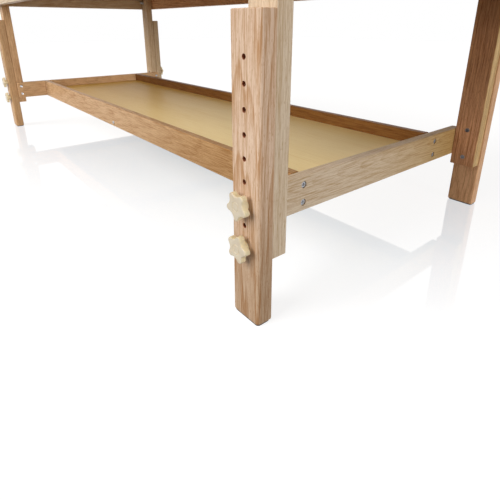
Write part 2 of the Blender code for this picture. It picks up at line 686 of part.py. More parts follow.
def rounded_outline(inset, waist=0.0):
    """The padded top's outline, drawn in all round by an inset, its sides dipping between the corners."""
    corner = PAD_CORNER - inset
    straight_x = PAD_END_X - PAD_CORNER
    straight_y = PAD_SIDE_Y - PAD_CORNER
    corners = ((1, -1), (1, 1), (-1, 1), (-1, -1))
    runs = (PAD_END_STEPS, PAD_SIDE_STEPS, PAD_END_STEPS, PAD_SIDE_STEPS)
    points = []
    for index, (sign_x, sign_y) in enumerate(corners):
        centre = Vector((sign_x * straight_x, sign_y * straight_y))
        start = math.pi / 2 * (index - 1)
        for step in range(PAD_CORNER_STEPS + 1):
            angle = start + math.pi / 2 * step / PAD_CORNER_STEPS
            points.append(centre + corner * Vector((math.cos(angle), math.sin(angle))))
        outward = Vector((math.cos(start + math.pi / 2), math.sin(start + math.pi / 2)))
        next_x, next_y = corners[(index + 1) % len(corners)]
        leave = points[-1]
        arrive = Vector((next_x * straight_x, next_y * straight_y)) + corner * outward
        for step in range(1, runs[index]):
            share = step / runs[index]
            dip = waist * math.sin(math.pi * share) ** 2
            points.append(leave.lerp(arrive, share) - outward * dip)
    return points


def deck_solid(inset, low, high):
    bm = bmesh.new()
    face = bm.faces.new([bm.verts.new((point.x, point.y, low)) for point in rounded_outline(inset)])
    grown = bmesh.ops.extrude_face_region(bm, geom=[face], use_keep_orig=True)
    raised = [item for item in grown["geom"] if isinstance(item, bmesh.types.BMVert)]
    bmesh.ops.translate(bm, verts=raised, vec=(0, 0, high - low))
    return bm


def make_deck(finishes, root):
    bm = deck_solid(PAD_WRAP, DECK_BOTTOM_Z, DECK_BOTTOM_Z + DECK_THICK)
    add_piece("deck", mesh_from(bm, "deck"), finishes["panel_wood"], root)


def pad_edge_rows():
    """(inset, height) of the rings up the pad's rolled edge."""
    rows = []
    for step in range(PAD_BOTTOM_EDGE_STEPS + 1):
        angle = math.pi / 2 * step / PAD_BOTTOM_EDGE_STEPS
        rows.append((PAD_BOTTOM_ROUND * (1 - math.sin(angle)), PAD_BOTTOM_ROUND * (1 - math.cos(angle))))
    for step in range(PAD_TOP_EDGE_STEPS + 1):
        angle = math.pi / 2 * step / PAD_TOP_EDGE_STEPS
        rows.append((PAD_TOP_ROUND * (1 - math.cos(angle)), PAD_THICK - PAD_TOP_ROUND * (1 - math.sin(angle))))
    return rows


def make_padded_top(finishes, root):
    """Foam in its cover: crowned top, rolled edges, sides drawn in, and a pocket below for the deck."""
    bm = bmesh.new()
    rings = []
    for inset, height in pad_edge_rows():
        outline = rounded_outline(inset, PAD_WAIST)
        rings.append([bm.verts.new((point.x, point.y, DECK_BOTTOM_Z + height)) for point in outline])
    rim = [vert.co.copy() for vert in rings[-1]]
    flat_x = PAD_END_X - PAD_TOP_ROUND
    flat_y = PAD_SIDE_Y - PAD_TOP_ROUND
    for ring in range(1, PAD_TOP_RINGS + 1):
        drawn_in = flat_y * ring / (PAD_TOP_RINGS + 1)
        row = []
        for point in rim:
            share_x = point.x / flat_x * (1 - drawn_in / flat_x)
            share_y = point.y / flat_y * (1 - drawn_in / flat_y)
            rise = PAD_CROWN * (1 - share_x**4) * (1 - share_y**2)
            row.append(bm.verts.new((share_x * flat_x, share_y * flat_y, point.z + rise)))
        rings.append(row)
    for lower, upper in zip(rings, rings[1:]):
        for index in range(len(lower)):
            after = (index + 1) % len(lower)
            bm.faces.new((lower[index], lower[after], upper[after], upper[index]))
    bm.faces.new(rings[0])
    bm.faces.new(rings[-1])
    mesh = mesh_from(bm, "padded_top", smooth=True)
    pad = add_piece("padded_top", mesh, finishes["upholstery"], root)
    pocket_top = DECK_BOTTOM_Z + DECK_THICK + SEAT_GAP
    pocket = deck_solid(PAD_WRAP - SEAT_GAP, DECK_BOTTOM_Z - DECK_THICK, pocket_top)
    combine(pad, "DIFFERENCE", "deck_pocket", pocket)


def main():
    clear_scene()
    finishes = make_finishes()
    root = bpy.data.objects.new("massage_table", None)
    bpy.context.scene.collection.objects.link(root)
    for leg in LEGS:
        make_upper_leg(leg, finishes, root)
        make_lower_leg(leg, finishes, root)
        make_foot_pad(leg, finishes, root)
    make_knob_screws(finishes, root)
    make_tray(finishes, root)
    make_top_frame(finishes, root)
    make_deck(finishes, root)
    make_padded_top(finishes, root)


if __name__ == "__main__":
    main()
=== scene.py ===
"""Looks of a wooden massage table with drilled height-adjustable legs, star knobs and a shelf tray.

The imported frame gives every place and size. The operators build finer boards, fasteners and the
padded top around it, and give each surface a procedural finish. Lengths are in metres.
"""

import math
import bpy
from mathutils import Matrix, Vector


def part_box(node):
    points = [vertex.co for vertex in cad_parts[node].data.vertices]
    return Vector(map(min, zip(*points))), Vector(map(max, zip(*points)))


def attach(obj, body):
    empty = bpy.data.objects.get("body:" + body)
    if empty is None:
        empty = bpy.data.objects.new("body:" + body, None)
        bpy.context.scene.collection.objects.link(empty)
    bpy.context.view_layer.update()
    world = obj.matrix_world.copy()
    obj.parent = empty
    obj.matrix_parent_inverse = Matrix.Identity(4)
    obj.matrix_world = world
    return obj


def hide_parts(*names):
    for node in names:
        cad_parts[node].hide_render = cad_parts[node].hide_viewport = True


bl_info = {
    "name": "Massage Table Looks",
    "version": (1, 0, 0),
    "blender": (4, 5, 0),
    "location": "View3D > Sidebar > Massage Table",
    "description": "Dresses the frame of a wooden massage table: boards, knobs, fasteners, padded top",
    "category": "Object",
}

from collections import namedtuple

import bmesh
import bpy
from bpy.props import FloatProperty, FloatVectorProperty, IntProperty, PointerProperty
from bpy.types import Operator, Panel, PropertyGroup
from mathutils import Euler, Matrix, Vector
from mathutils.bvhtree import BVHTree

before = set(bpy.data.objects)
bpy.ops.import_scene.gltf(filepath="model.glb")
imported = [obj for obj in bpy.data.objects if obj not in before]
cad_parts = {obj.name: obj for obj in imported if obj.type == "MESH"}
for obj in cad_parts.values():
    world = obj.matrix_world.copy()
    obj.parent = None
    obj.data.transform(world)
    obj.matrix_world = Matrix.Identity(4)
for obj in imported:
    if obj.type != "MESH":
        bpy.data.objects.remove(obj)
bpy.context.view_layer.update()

# Names in the frame, and directions: X along the table, Y across it, Z up
LEGS = ("front_right", "front_left", "rear_right", "rear_left")
LEVELS = ("lower", "upper")
SCREW_SPOTS = tuple((leg, level) for leg in LEGS for level in LEVELS)
X_AXIS, Y_AXIS, Z_AXIS = Vector((1, 0, 0)), Vector((0, 1, 0)), Vector((0, 0, 1))
ALONG, ACROSS = 0, 1
CORNERS = ((1, 1), (-1, 1), (-1, -1), (1, -1))
QUARTER_TURN = math.pi / 2
FULL_TURN = 2 * math.pi

# Rounding and facets of the finer meshes
BIG_ROUND_STEPS = 7
EDGE_STEPS = 4
HOLE_SIDES = 40
HEAD_SIDES = 48
THREAD_SIDES = 24
THREAD_ROWS_PER_TURN = 6
SHARP_ANGLE = math.radians(32)

# How much broad faces count in a normal, how far cutters go beyond a face, and the cosines from
# which two directions count as parallel and one as upright
NORMAL_WEIGHT = 100
OVERCUT = 0.001
PARALLEL = 0.999
UPRIGHT = 0.9

# How each board was sawn: its grain axis, tone, seed, where the tree's pith lies from the board's
# middle across the grain, how far the rings lean along it, how strongly they show and how wide they
# are, how much the board darkens between two places along it and toward which colour, and where
# across it a lighter, yellower side starts. The darkening is painted shade on the rear right upper
# leg's top, the front right lower leg's foot, the right end rail's rear end and the panel's left end;
# the lighter side is painted light on the rear right upper leg's outer side
EVEN = (0.0, 0.0, 1.0)
ALL_OVER = (0.55, -1.0, -0.9)
# Colours that a board darkens toward: painted shade on some boards, the board's own tone on others
GREY_TONE_AND_PAINTED_SHADE = (0.66, 0.62, 0.55)
GOLD_TONE_AND_PAINTED_SHADE = (0.68, 0.55, 0.30)
DEEP_PAINTED_SHADE = (0.54, 0.51, 0.45)
VENEER_PAINTED_SHADE = (0.62, 0.47, 0.20)
# A lighter, yellower side of a board is painted light; by default no board has one
NO_PAINTED_LIGHT = -1.0
PAINTED_LIGHT_SKIN = 0.0012
PAINTED_LIGHT_GAIN = (1.08, 1.40, 1.18, 1.0)
FINE = 0.0046
Sawing = namedtuple(
    "Sawing", "grain tone seed pith lean rings width darker shade sap",
    defaults=(EVEN, GREY_TONE_AND_PAINTED_SHADE, NO_PAINTED_LIGHT),
)
SAWINGS = {
    "upper_leg_front_right": Sawing("Z", "pale", 3.1, (0.160, -0.062), 0.02, 0.22, FINE),
    "upper_leg_front_left": Sawing("Z", "tan", 8.4, (0.050, 0.010), 0.07, 0.35, FINE),
    # Painted shadow across the top, and painted light on the outer side
    "upper_leg_rear_right": Sawing(
        "Z", "russet", 5.7, (0.030, 0.160), 0.02, 0.45, 0.0095, (1.0, 0.02, 0.12), DEEP_PAINTED_SHADE,
        -0.0236,
    ),
    "upper_leg_rear_left": Sawing("Z", "drab", 1.9, (-0.060, 0.020), 0.05, 0.35, FINE),
    # Painted shade: darker toward the foot
    "lower_leg_front_right": Sawing(
        "Z", "rose", 2.3, (0.055, 0.006), 0.05, 0.85, 0.0075, (0.95, 0.05, -0.16)
    ),
    "lower_leg_front_left": Sawing("Z", "tan", 6.6, (0.045, -0.008), 0.10, 0.40, FINE, ALL_OVER),
    "lower_leg_rear_right": Sawing("Z", "brown", 9.2, (-0.050, 0.012), 0.05, 0.40, FINE),
    "lower_leg_rear_left": Sawing("Z", "drab", 4.8, (-0.045, 0.002), 0.09, 0.40, FINE),
    # Painted shade: darker toward the rear end
    "tray_end_rail_right": Sawing(
        "Y", "pale", 7.5, (-0.040, 0.012), 0.09, 0.42, FINE, (1.0, -0.15, 0.30), GOLD_TONE_AND_PAINTED_SHADE
    ),
    "tray_end_rail_left": Sawing("Y", "tan", 2.8, (0.050, 0.006), 0.09, 0.35, FINE),
    "tray_long_rail_front": Sawing(
        "X", "honey", 4.1, (0.090, 0.016), 0.04, 0.40, FINE, (0.6, 0.10, 0.55), GOLD_TONE_AND_PAINTED_SHADE
    ),
    "tray_long_rail_rear": Sawing(
        "X", "amber", 6.2, (0.085, -0.012), 0.04, 0.40, FINE, (1.0, 0.60, -0.60)
    ),
    "tray_batten": Sawing("Y", "tan", 3.6, (0.050, 0.020), 0.05, 0.40, FINE),
    "long_apron_front": Sawing("X", "pale", 5.2, (0.080, 0.020), 0.04, 0.40, FINE),
    "long_apron_rear": Sawing("X", "brown", 1.3, (-0.080, 0.030), 0.04, 0.40, FINE),
    "end_apron_left": Sawing("Y", "pale", 7.9, (0.080, -0.020), 0.05, 0.40, FINE),
    "end_apron_right": Sawing("Y", "rose", 9.7, (-0.080, 0.020), 0.05, 0.40, FINE),
    "cross_rail_left": Sawing("Y", "tan", 8.8, (0.060, 0.020), 0.05, 0.40, FINE),
    "cross_rail_right": Sawing("Y", "pale", 2.1, (0.060, -0.020), 0.05, 0.40, FINE),
    # Painted shade: darker toward the left end
    "tray_panel": Sawing(
        "X", "veneer", 6.1, (0.62, 0.03), 0.004, 0.22, 0.007, (1.0, 0.40, -0.60), VENEER_PAINTED_SHADE
    ),
    "deck": Sawing("X", "plywood", 3.3, (0.45, 0.05), 0.02, 0.32, 0.012),
}

# Turns that bring a board's grain axis on to the X axis
GRAIN_TURNS = {
    "X": Euler((0.0, 0.0, 0.0)),
    "Y": Euler((0.0, 0.0, -QUARTER_TURN)),
    "Z": Euler((0.0, QUARTER_TURN, 0.0)),
}

# How far the figure of each kind of wood wanders, how strongly its marks show, and the varnish
BOARD_FIGURE = dict(Wander=0.012, Streak_Share=0.70, Fibre_Share=2.2, Flecks=0.70)
VENEER_FIGURE = dict(Wander=0.030, Streak_Share=0.34, Fibre_Share=0.22, Flecks=0.22)
PLYWOOD_FIGURE = dict(Wander=0.060, Streak_Share=0.22, Fibre_Share=0.30, Flecks=0.25)
BARE_COAT = 0.0
PANEL_COAT = 0.03

# Noises of the finishes, in cells per metre along each axis; wood has its grain along the first
Noise = namedtuple("Noise", "cells detail roughness", defaults=(2.0, 0.5))
NOISE_MIDDLE = 0.5
DRIFT = Noise((2.6, 8.0, 8.0))
UNEVENNESS = Noise((1.2, 40.0, 40.0), 1.0)
STREAKS = Noise((16.0, 560.0, 560.0), 3.0, 0.6)
FIBRES = Noise((44.0, 820.0, 820.0), 4.0, 0.7)
WOOD_CLOUDS = Noise((3.0, 16.0, 16.0))
RAY_FLECKS = Noise((150.0, 1100.0, 1100.0), 1.0)
PLATE_CLOUDS = Noise((260.0,) * 3, 3.0)
SCRATCHES = Noise((2600.0, 2600.0, 400.0))
MOULD_FLOW = Noise((60.0,) * 3, 3.0)
MOULD_GRAIN = Noise((2400.0,) * 3)
FUZZ = Noise((1400.0,) * 3, 4.0, 0.7)
HIDE_WARP = Noise((90.0,) * 3)
HIDE_CLOUDS = Noise((5.0,) * 3, 3.0)
THREAD_TWIST = Noise((1800.0,) * 3)
FLOOR_MOTTLE = Noise((1.5,) * 3)

# Ranges from a value's low and high end to what they turn into, 0 and 1 where only two are given
STREAKS_SHOW = (0.36, 0.70)
WOOD_CLOUDS_SHOW = (0.35, 0.75, -0.06, 0.16)
FLECKS_SHOW = (0.60, 0.74)
LATE_WOOD_ENDS = (0.90, 1.0, 1.0, 0.0)
WOOD_ROUGHNESS = (0.0, 1.2, 0.38, 0.52)
BORE_SKIN = (0.00005, 0.0003, 1.0, 0.0)
PLATE_CLOUDS_SHOW = (0.45, 0.75)
PLATE_ROUGHNESS = (0.3, 0.8, 0.24, 0.44)
MOULD_FLOW_SHOWS = (0.35, 0.75)
MOULD_ROUGHNESS = (0.25, 0.75, 0.30, 0.42)
FUZZ_SHOWS = (0.40, 0.80)
CREASES_SHOW = (0.25, 0.75)
HIDE_CLOUDS_SHOW = (0.35, 0.70, 0.0, 0.25)
HIDE_ROUGHNESS = (0.0, 1.0, 0.40, 0.55)
TWIST_SHOWS = (0.35, 0.70)

# Strength and depth of each finish's bumps
WOOD_BUMP = (0.12, 0.0004)
PLATE_BUMP = (0.10, 0.0001)
MOULD_BUMP = (0.06, 0.0002)
FELT_BUMP = (0.6, 0.0006)
HIDE_BUMP = (0.22, 0.0005)
THREAD_BUMP = (0.3, 0.0002)

# Tints of a finish's second tone, times its first
PLATE_STRAW = (0.95, 0.86, 0.66)
MOULD_DEEP = (0.90, 0.86, 0.80)
FELT_LINT = (2.6,) * 3
# The cover's tone changes and the painted shade in its grain's hollows both lean toward this tint
HIDE_TONE_AND_PAINTED_SHADE = (0.90, 0.87, 0.82)
WELT_SHADE = (0.93,) * 3
TWIST_DEEP = (0.72,) * 3
FLOOR_LIFT = (1.04,) * 3

# Other values of the finishes
WHITE = (1.0, 1.0, 1.0, 1.0)
SEED_SPREAD = (1.0, 1.7, 0.6)
UNEVEN_RINGS = 2.4
LATE_WOOD_POWER = 3.0
FLECK_DENT = 0.6
WOOD_SPECULAR = 0.1
COAT_ROUGHNESS = 0.22
MOULD_GLOW = 0.12
MOULD_GLOW_RADIUS = (0.004, 0.003, 0.002)
MOULD_GLOW_SCALE = 0.5
FELT_ROUGHNESS = 0.95
FELT_SHEEN = 0.25
WARP_REACH = (0.0015,) * 3
# How far the cover's grain hollows darken: painted shade
CREASE_PAINTED_SHADE = 0.45
HIDE_SHEEN = 0.08
COVER_PEBBLES = 620.0
WELT_PEBBLES = 820.0
THREAD_ROUGHNESS = 0.7

# Heads with a hexagon socket: the mouth's and the tip's radius in radii of the socket, the tip's
# depth in depths of the socket, the easing of the mouth, and each fastener's own head
SOCKET_MOUTH = 1.35
SOCKET_TIP = 0.1
SOCKET_CONE = 1.25
SOCKET_EASING = 0.0002
Head = namedtuple("Head", "thick socket rounding deep")
CORNER_BOLT_HEAD = Head(0.004, 0.0025, 0.0007, 0.0024)
CORNER_BOLT_SHANK = 0.003
RAIL_SCREW_HEAD = Head(0.0024, 0.0018, 0.0014, 0.0014)
LEG_BOLT_HEAD = Head(0.0026, 0.0025, 0.0012, 0.0019)

# How far an insert nut's flange goes beyond its barrel
NUT_FLANGE = 0.0004


def colour(name, description, default):
    return FloatVectorProperty(
        name=name, description=description, subtype="COLOR", size=3, min=0.0, max=1.0, default=default
    )


def length(name, description, default):
    return FloatProperty(
        name=name, description=description, subtype="DISTANCE", unit="LENGTH", min=0.0, precision=5,
        default=default,
    )


def plain(name, description, default, subtype="NONE"):
    return FloatProperty(name=name, description=description, subtype=subtype, default=default)


def factor(name, description, default):
    return plain(name, description, default, "FACTOR")


def degrees(name, description, default):
    return plain(name, description, math.radians(default), "ANGLE")


def whole(name, description, default):
    return IntProperty(name=name, description=description, default=default)


def triple(name, description, subtype, default):
    return FloatVectorProperty(
        name=name, description=description, subtype=subtype, size=3, default=default
    )


class WoodProps(PropertyGroup):
    """Tones and edges of the boards"""

    rose_early: colour("Rose early wood", "Light bands of the pinkish boards", (0.76, 0.565, 0.415))
    rose_late: colour("Rose late wood", "Dark bands of the pinkish boards", (0.48, 0.26, 0.125))
    pale_early: colour("Pale early wood", "Light bands of the palest boards", (0.74, 0.605, 0.45))
    pale_late: colour("Pale late wood", "Dark bands of the palest boards", (0.50, 0.335, 0.185))
    tan_early: colour("Tan early wood", "Light bands of the tan boards", (0.70, 0.455, 0.245))
    tan_late: colour("Tan late wood", "Dark bands of the tan boards", (0.42, 0.22, 0.098))
    honey_early: colour("Honey early wood", "Light bands of the golden boards", (0.63, 0.41, 0.225))
    honey_late: colour("Honey late wood", "Dark bands of the golden boards", (0.36, 0.18, 0.07))
    brown_early: colour("Brown early wood", "Light bands of the brown boards", (0.755, 0.45, 0.245))
    brown_late: colour("Brown late wood", "Dark bands of the brown boards", (0.41, 0.195, 0.088))
    russet_early: colour("Russet early wood", "Light bands of the reddish boards", (0.64, 0.335, 0.17))
    russet_late: colour("Russet late wood", "Dark bands of the reddish boards", (0.30, 0.125, 0.056))
    amber_early: colour("Amber early wood", "Light bands of the deep orange boards", (0.34, 0.153, 0.042))
    amber_late: colour("Amber late wood", "Dark bands of the deep orange boards", (0.183, 0.068, 0.015))
    veneer_early: colour("Veneer early wood", "Light bands of the shelf panel", (0.96, 0.765, 0.38))
    veneer_late: colour("Veneer late wood", "Dark bands of the shelf panel", (0.80, 0.56, 0.20))
    plywood_early: colour("Plywood early wood", "Light bands of the deck", (0.74, 0.605, 0.45))
    plywood_late: colour("Plywood late wood", "Dark bands of the deck", (0.42, 0.22, 0.098))
    drab_early: colour("Drab early wood", "Light bands of the greyish boards", (0.66, 0.50, 0.32))
    drab_late: colour("Drab late wood", "Dark bands of the greyish boards", (0.40, 0.25, 0.13))
    # Painted shade on the walls of the height holes
    bore_wall_painted_shade: colour("Bore wall", "Raw walls of the height holes", (0.34, 0.12, 0.055))
    board_edge: length("Board edge", "Rounding of the rails' and aprons' edges", 0.0025)
    upper_edge: length("Upper leg edge", "Rounding of the upper legs' upright edges", 0.0013)
    board_end: length("Board end", "Rounding of the boards' end edges", 0.0022)
    leg_edge: length("Leg edge", "Rounding of the lower legs' outer upright edges", 0.0065)
    leg_top: length("Leg top", "Rounding of the lower legs' top ends", 0.0015)
    leg_foot: length("Leg foot", "Rounding of the lower legs' foot ends", 0.004)
    panel_edge: length("Panel edge", "Easing of the shelf panel's edges", 0.0004)
    hole_pitch: length("Hole pitch", "Spacing of the height holes", 0.030)
    hole_radius: length("Hole radius", "Radius of the height holes", 0.0033)
    hole_easing: length("Hole easing", "Chamfer at the mouths of the holes", 0.0003)
    hole_count: whole("Hole count", "Height holes in a lower leg", 9)
    groove_room: length("Groove room", "Room around the panel in the rails' grooves", 0.0003)
    bolt_sink_radius: length("Bolt sink radius", "Radius of the tray bolts' recesses", 0.0055)
    bolt_sink_depth: length("Bolt sink depth", "Depth of the tray bolts' recesses", 0.006)


class HardwareProps(PropertyGroup):
    """Knobs, screws, bolts and feet"""

    ivory: colour("Ivory plastic", "Colour of the star knobs' faces", (0.64, 0.55, 0.41))
    # Painted light: the knobs' flanks, hub and back are drawn lighter and yellower than the face
    ivory_flank_painted_light: colour("Ivory flank", "Colour of the star knobs' glossier flanks", (0.80, 0.67, 0.42))
    zinc: colour("Zinc", "Colour of the plated steel", (0.42, 0.43, 0.46))
    # Painted shade: a darker copy of the plated finish for the studs and insert nuts under the table
    steel: colour("Steel", "Colour of the studs and insert nuts", (0.21, 0.205, 0.21))
    felt: colour("Felt", "Colour of the foot pads", (0.035, 0.030, 0.028))
    pad_depth: length("Pad depth", "Thickness of the foot pads", 0.0012)
    pad_inset: length("Pad inset", "Distance of the foot pads' edges from a leg's sides", 0.0018)
    pad_corner: length("Pad corner", "Radius of the foot pads' corners", 0.0045)
    knob_radius: length("Knob radius", "Reach of a knob's lobes", 0.0198)
    knob_lobe: length("Knob lobe", "Radius of a lobe's round end", 0.005)
    knob_valley: length("Knob valley", "Distance from the axis to the bottom of a valley", 0.014)
    knob_hub_radius: length("Knob hub radius", "Radius of the raised ring behind a knob", 0.0092)
    knob_hub_depth: length("Knob hub depth", "Height of the raised ring behind a knob", 0.0057)
    knob_edge: length("Knob edge", "Rounding of a knob's front edge", 0.0013)
    knob_disc: length("Knob disc", "Radius of the disc in a knob's face", 0.0066)
    knob_lobes: whole("Knob lobes", "Lobes of a knob", 5)
    lower_turn: degrees("Lower knob turn", "Turn of the lower knobs at rest", 4)
    upper_turn: degrees("Upper knob turn", "Turn of the first upper knob at rest", 53)
    turn_step: degrees("Turn step", "Further turn from one leg's upper knob to the next", 17)
    thread_radius: length("Thread radius", "Outer radius of the M6 studs", 0.003)
    thread_pitch: length("Thread pitch", "Pitch of the M6 studs", 0.001)
    thread_depth: length("Thread depth", "Depth of the M6 thread", 0.00055)
    leg_bolt_inset: length("Leg bolt inset", "Leg bolts' distance from a leg's edges", 0.0155)
    leg_bolt_low: length("Lower leg bolt", "Lower leg bolt's height above the apron's bottom", 0.029)
    leg_bolt_high: length("Upper leg bolt", "Upper leg bolt's height above the apron's bottom", 0.073)
    leg_bolt_head: length("Leg bolt head", "Radius of the leg bolts' flat heads", 0.0085)
    leg_bolt_thread: length("Leg bolt thread", "Outer radius of the M8 leg bolts", 0.004)
    leg_bolt_pitch: length("Leg bolt pitch", "Pitch of the M8 leg bolts", 0.00125)
    rail_screw_inset: length("Rail screw inset", "Rail screws' distance from a rail's edges", 0.0145)
    rail_screw_head: length("Rail screw head", "Radius of the rail screws' heads", 0.0048)


class PaddingProps(PropertyGroup):
    """The padded top and its cover"""

    cover: colour("Cover", "Colour of the upholstery cover", (0.62, 0.55, 0.44))
    thread: colour("Thread", "Colour of the seam's stitches", (0.70, 0.64, 0.54))
    corner: length("Corner", "Radius of the padded top's corners", 0.070)
    top_round: length("Top rounding", "Rounding of the padded top's upper edge", 0.024)
    bottom_round: length("Bottom rounding", "Rounding of the padded top's lower edge", 0.008)
    shrink: length("Start shrink", "How much smaller the pad starts before it swells", 0.0035)
    crown: length("Crown", "Rise of the padded top's middle", 0.004)
    voxel: length("Voxel", "Mesh size for the swelling", 0.010)
    swell_cap: length("Swell cap", "The most a point of the cover may move", 0.006)
    pressure: plain("Pressure", "Pressure of the foam on the cover", 4.0)
    swell_frames: whole("Swell frames", "Steps of the swelling", 20)
    seam_drop: length("Seam drop", "Distance of the seam below the top of the pad's CAD node", 0.022)
    welt_radius: length("Welt radius", "Radius of the piping in the seam", 0.0026)
    stitch_pitch: length("Stitch pitch", "Spacing of the stitches", 0.0065)
    stitch_radius: length("Stitch radius", "Radius of the stitching thread", 0.00045)
    stitch_drop: length("Stitch drop", "Distance of the stitches below the piping", 0.0075)


class StageProps(PropertyGroup):
    """Floor, lamps and camera"""

    floor: colour("Floor", "Colour of the floor for the light that it throws back", (0.28, 0.28, 0.284))
    floor_glow: plain("Floor glow", "White that the camera sees on the floor besides its lit colour", 0.85)
    floor_mirror: factor("Floor mirror", "Share of the floor that mirrors the table", 0.35)
    floor_polish: factor("Floor polish", "Roughness of the floor's mirror image", 0.03)
    mirror_reach: length("Mirror reach", "How far in front of the feet the mirror image fades out", 0.60)
    mirror_tint: colour("Mirror tint", "Tint of the floor's mirror image", (1.0, 0.88, 0.79))
    floor_half: length("Floor half side", "Half the side of the floor", 9.0)
    wall_light: plain("Wall light", "Light from all round, low down", 0.48)
    sky_light: plain("Sky light", "Light from overhead", 0.10)
    key_strength: plain("Key strength", "Wide front light", 2.95)
    key_from: triple(
        "Key from", "Direction that the wide front light comes from", "DIRECTION", (-0.25, -1.0, 0.72)
    )
    key_spread: degrees("Key spread", "How soft the front light's shadows are", 45)
    fill_strength: plain("Fill strength", "Low light from the right", 1.45)
    fill_from: triple(
        "Fill from", "Direction that the low right light comes from", "DIRECTION", (1.0, -0.12, 0.11)
    )
    fill_spread: degrees("Fill spread", "How soft the right light's shadows are", 14)
    camera_place: triple("Camera place", "Place of the camera", "XYZ", (1.12907, -0.62413, 0.38850))
    camera_turn: triple(
        "Camera turn", "Turn of the camera", "EULER",
        (math.radians(70.0878), math.radians(0.0115), math.radians(50.9016)),
    )
    camera_lens: plain("Camera lens", "Focal length in mm", 29.464)
    camera_rise: plain("Camera rise", "Upward shift of the picture, in picture widths", -0.154)


class TableProps(PropertyGroup):
    """Everything a user would change on the table"""

    wood: PointerProperty(type=WoodProps)
    hardware: PointerProperty(type=HardwareProps)
    padding: PointerProperty(type=PaddingProps)
    stage: PointerProperty(type=StageProps)


def settings():
    return bpy.context.scene.massage_table


# Shader helpers


class Shading:
    """Adds shader nodes to one tree and links them; most methods give back an output socket."""

    def __init__(self, tree):
        self.tree = tree

    def put(self, socket, value):
        """Links an output socket to this input, or sets a plain value on it."""
        if isinstance(value, bpy.types.NodeSocket):
            self.tree.links.new(value, socket)
        else:
            socket.default_value = value

    def add(self, kind, *values, **options):
        """A new node with these options, the values put in its first inputs."""
        node = self.tree.nodes.new(kind)
        for name, value in options.items():
            setattr(node, name, value)
        for socket, value in zip(node.inputs, values):
            self.put(socket, value)
        return node

    def fill(self, node, **values):
        """Puts values in a node's named inputs; the names have _ for a blank."""
        for name, value in values.items():
            self.put(node.inputs[name.replace("_", " ")], value)
        return node

    def group(self, tree, **values):
        """The outputs of a node group that is placed with these inputs."""
        return self.fill(self.add("ShaderNodeGroup", node_tree=tree), **values).outputs

    def spot(self):
        """The place on the piece, in its own coordinates."""
        return self.add("ShaderNodeTexCoord").outputs["Object"]

    def math(self, operation, first, second=0.0):
        return self.add("ShaderNodeMath", first, second, operation=operation).outputs[0]

    def vector(self, operation, first, second):
        return self.add("ShaderNodeVectorMath", first, second, operation=operation).outputs[0]

    def parts(self, vector):
        """A vector's X, Y and Z."""
        return self.add("ShaderNodeSeparateXYZ", vector).outputs

    def distance(self, first, second):
        """The distance that two sides of a right angle span."""
        squared = self.math("ADD", self.math("POWER", first, 2.0), self.math("POWER", second, 2.0))
        return self.math("SQRT", squared)

    def noise(self, place, kind):
        """The outputs of a noise node: its value, then its colour."""
        spread = self.vector("MULTIPLY", place, kind.cells)
        node = self.add("ShaderNodeTexNoise")
        self.fill(node, Vector=spread, Scale=1.0, Detail=kind.detail, Roughness=kind.roughness)
        return node.outputs

    def scaled(self, value, low, high, to_low=0.0, to_high=1.0):
        """The value's part from low to high, spread smoothly from to_low to to_high."""
        ends = (low, high, to_low, to_high)
        return self.add("ShaderNodeMapRange", value, *ends, interpolation_type="SMOOTHSTEP").outputs[0]

    def mix(self, share, first, second, blend="MIX"):
        node = self.add("ShaderNodeMix", share, data_type="RGBA", blend_type=blend)
        self.put(node.inputs[6], first)
        self.put(node.inputs[7], second)
        return node.outputs[2]

    def bump(self, height, strength, distance):
        node = self.add("ShaderNodeBump")
        return self.fill(node, Strength=strength, Distance=distance, Height=height).outputs["Normal"]


def rgba(rgb):
    return (*rgb, 1.0)


def tinted(rgb, tint):
    """A colour times a tint, as RGBA."""
    return rgba(channel * share for channel, share in zip(rgb, tint))


def new_material(name):
    """A material with a Principled shader, as (material, shading helper, shader)."""
    material = bpy.data.materials.new(name)
    material.use_nodes = True
    shading = Shading(material.node_tree)
    return material, shading, material.node_tree.nodes["Principled BSDF"]


def seen_rays(on):
    """1 for what the camera sees directly, in reflections or through clear things, else 0."""
    path = on.add("ShaderNodeLightPath").outputs
    seen = on.math("MAXIMUM", path["Is Camera Ray"], path["Is Glossy Ray"])
    return on.math("MAXIMUM", seen, path["Is Transmission Ray"])


def new_group(name, inputs, outputs):
    """A shader node group as (tree, shading helper, input sockets, output sockets)."""
    tree = bpy.data.node_groups.new(name, "ShaderNodeTree")
    for in_out, sockets in (("INPUT", inputs), ("OUTPUT", outputs)):
        for label, kind in sockets:
            tree.interface.new_socket(name=label, in_out=in_out, socket_type="NodeSocket" + kind)
    entry = tree.nodes.new("NodeGroupInput").outputs
    leave = tree.nodes.new("NodeGroupOutput").inputs
    return tree, Shading(tree), entry, leave


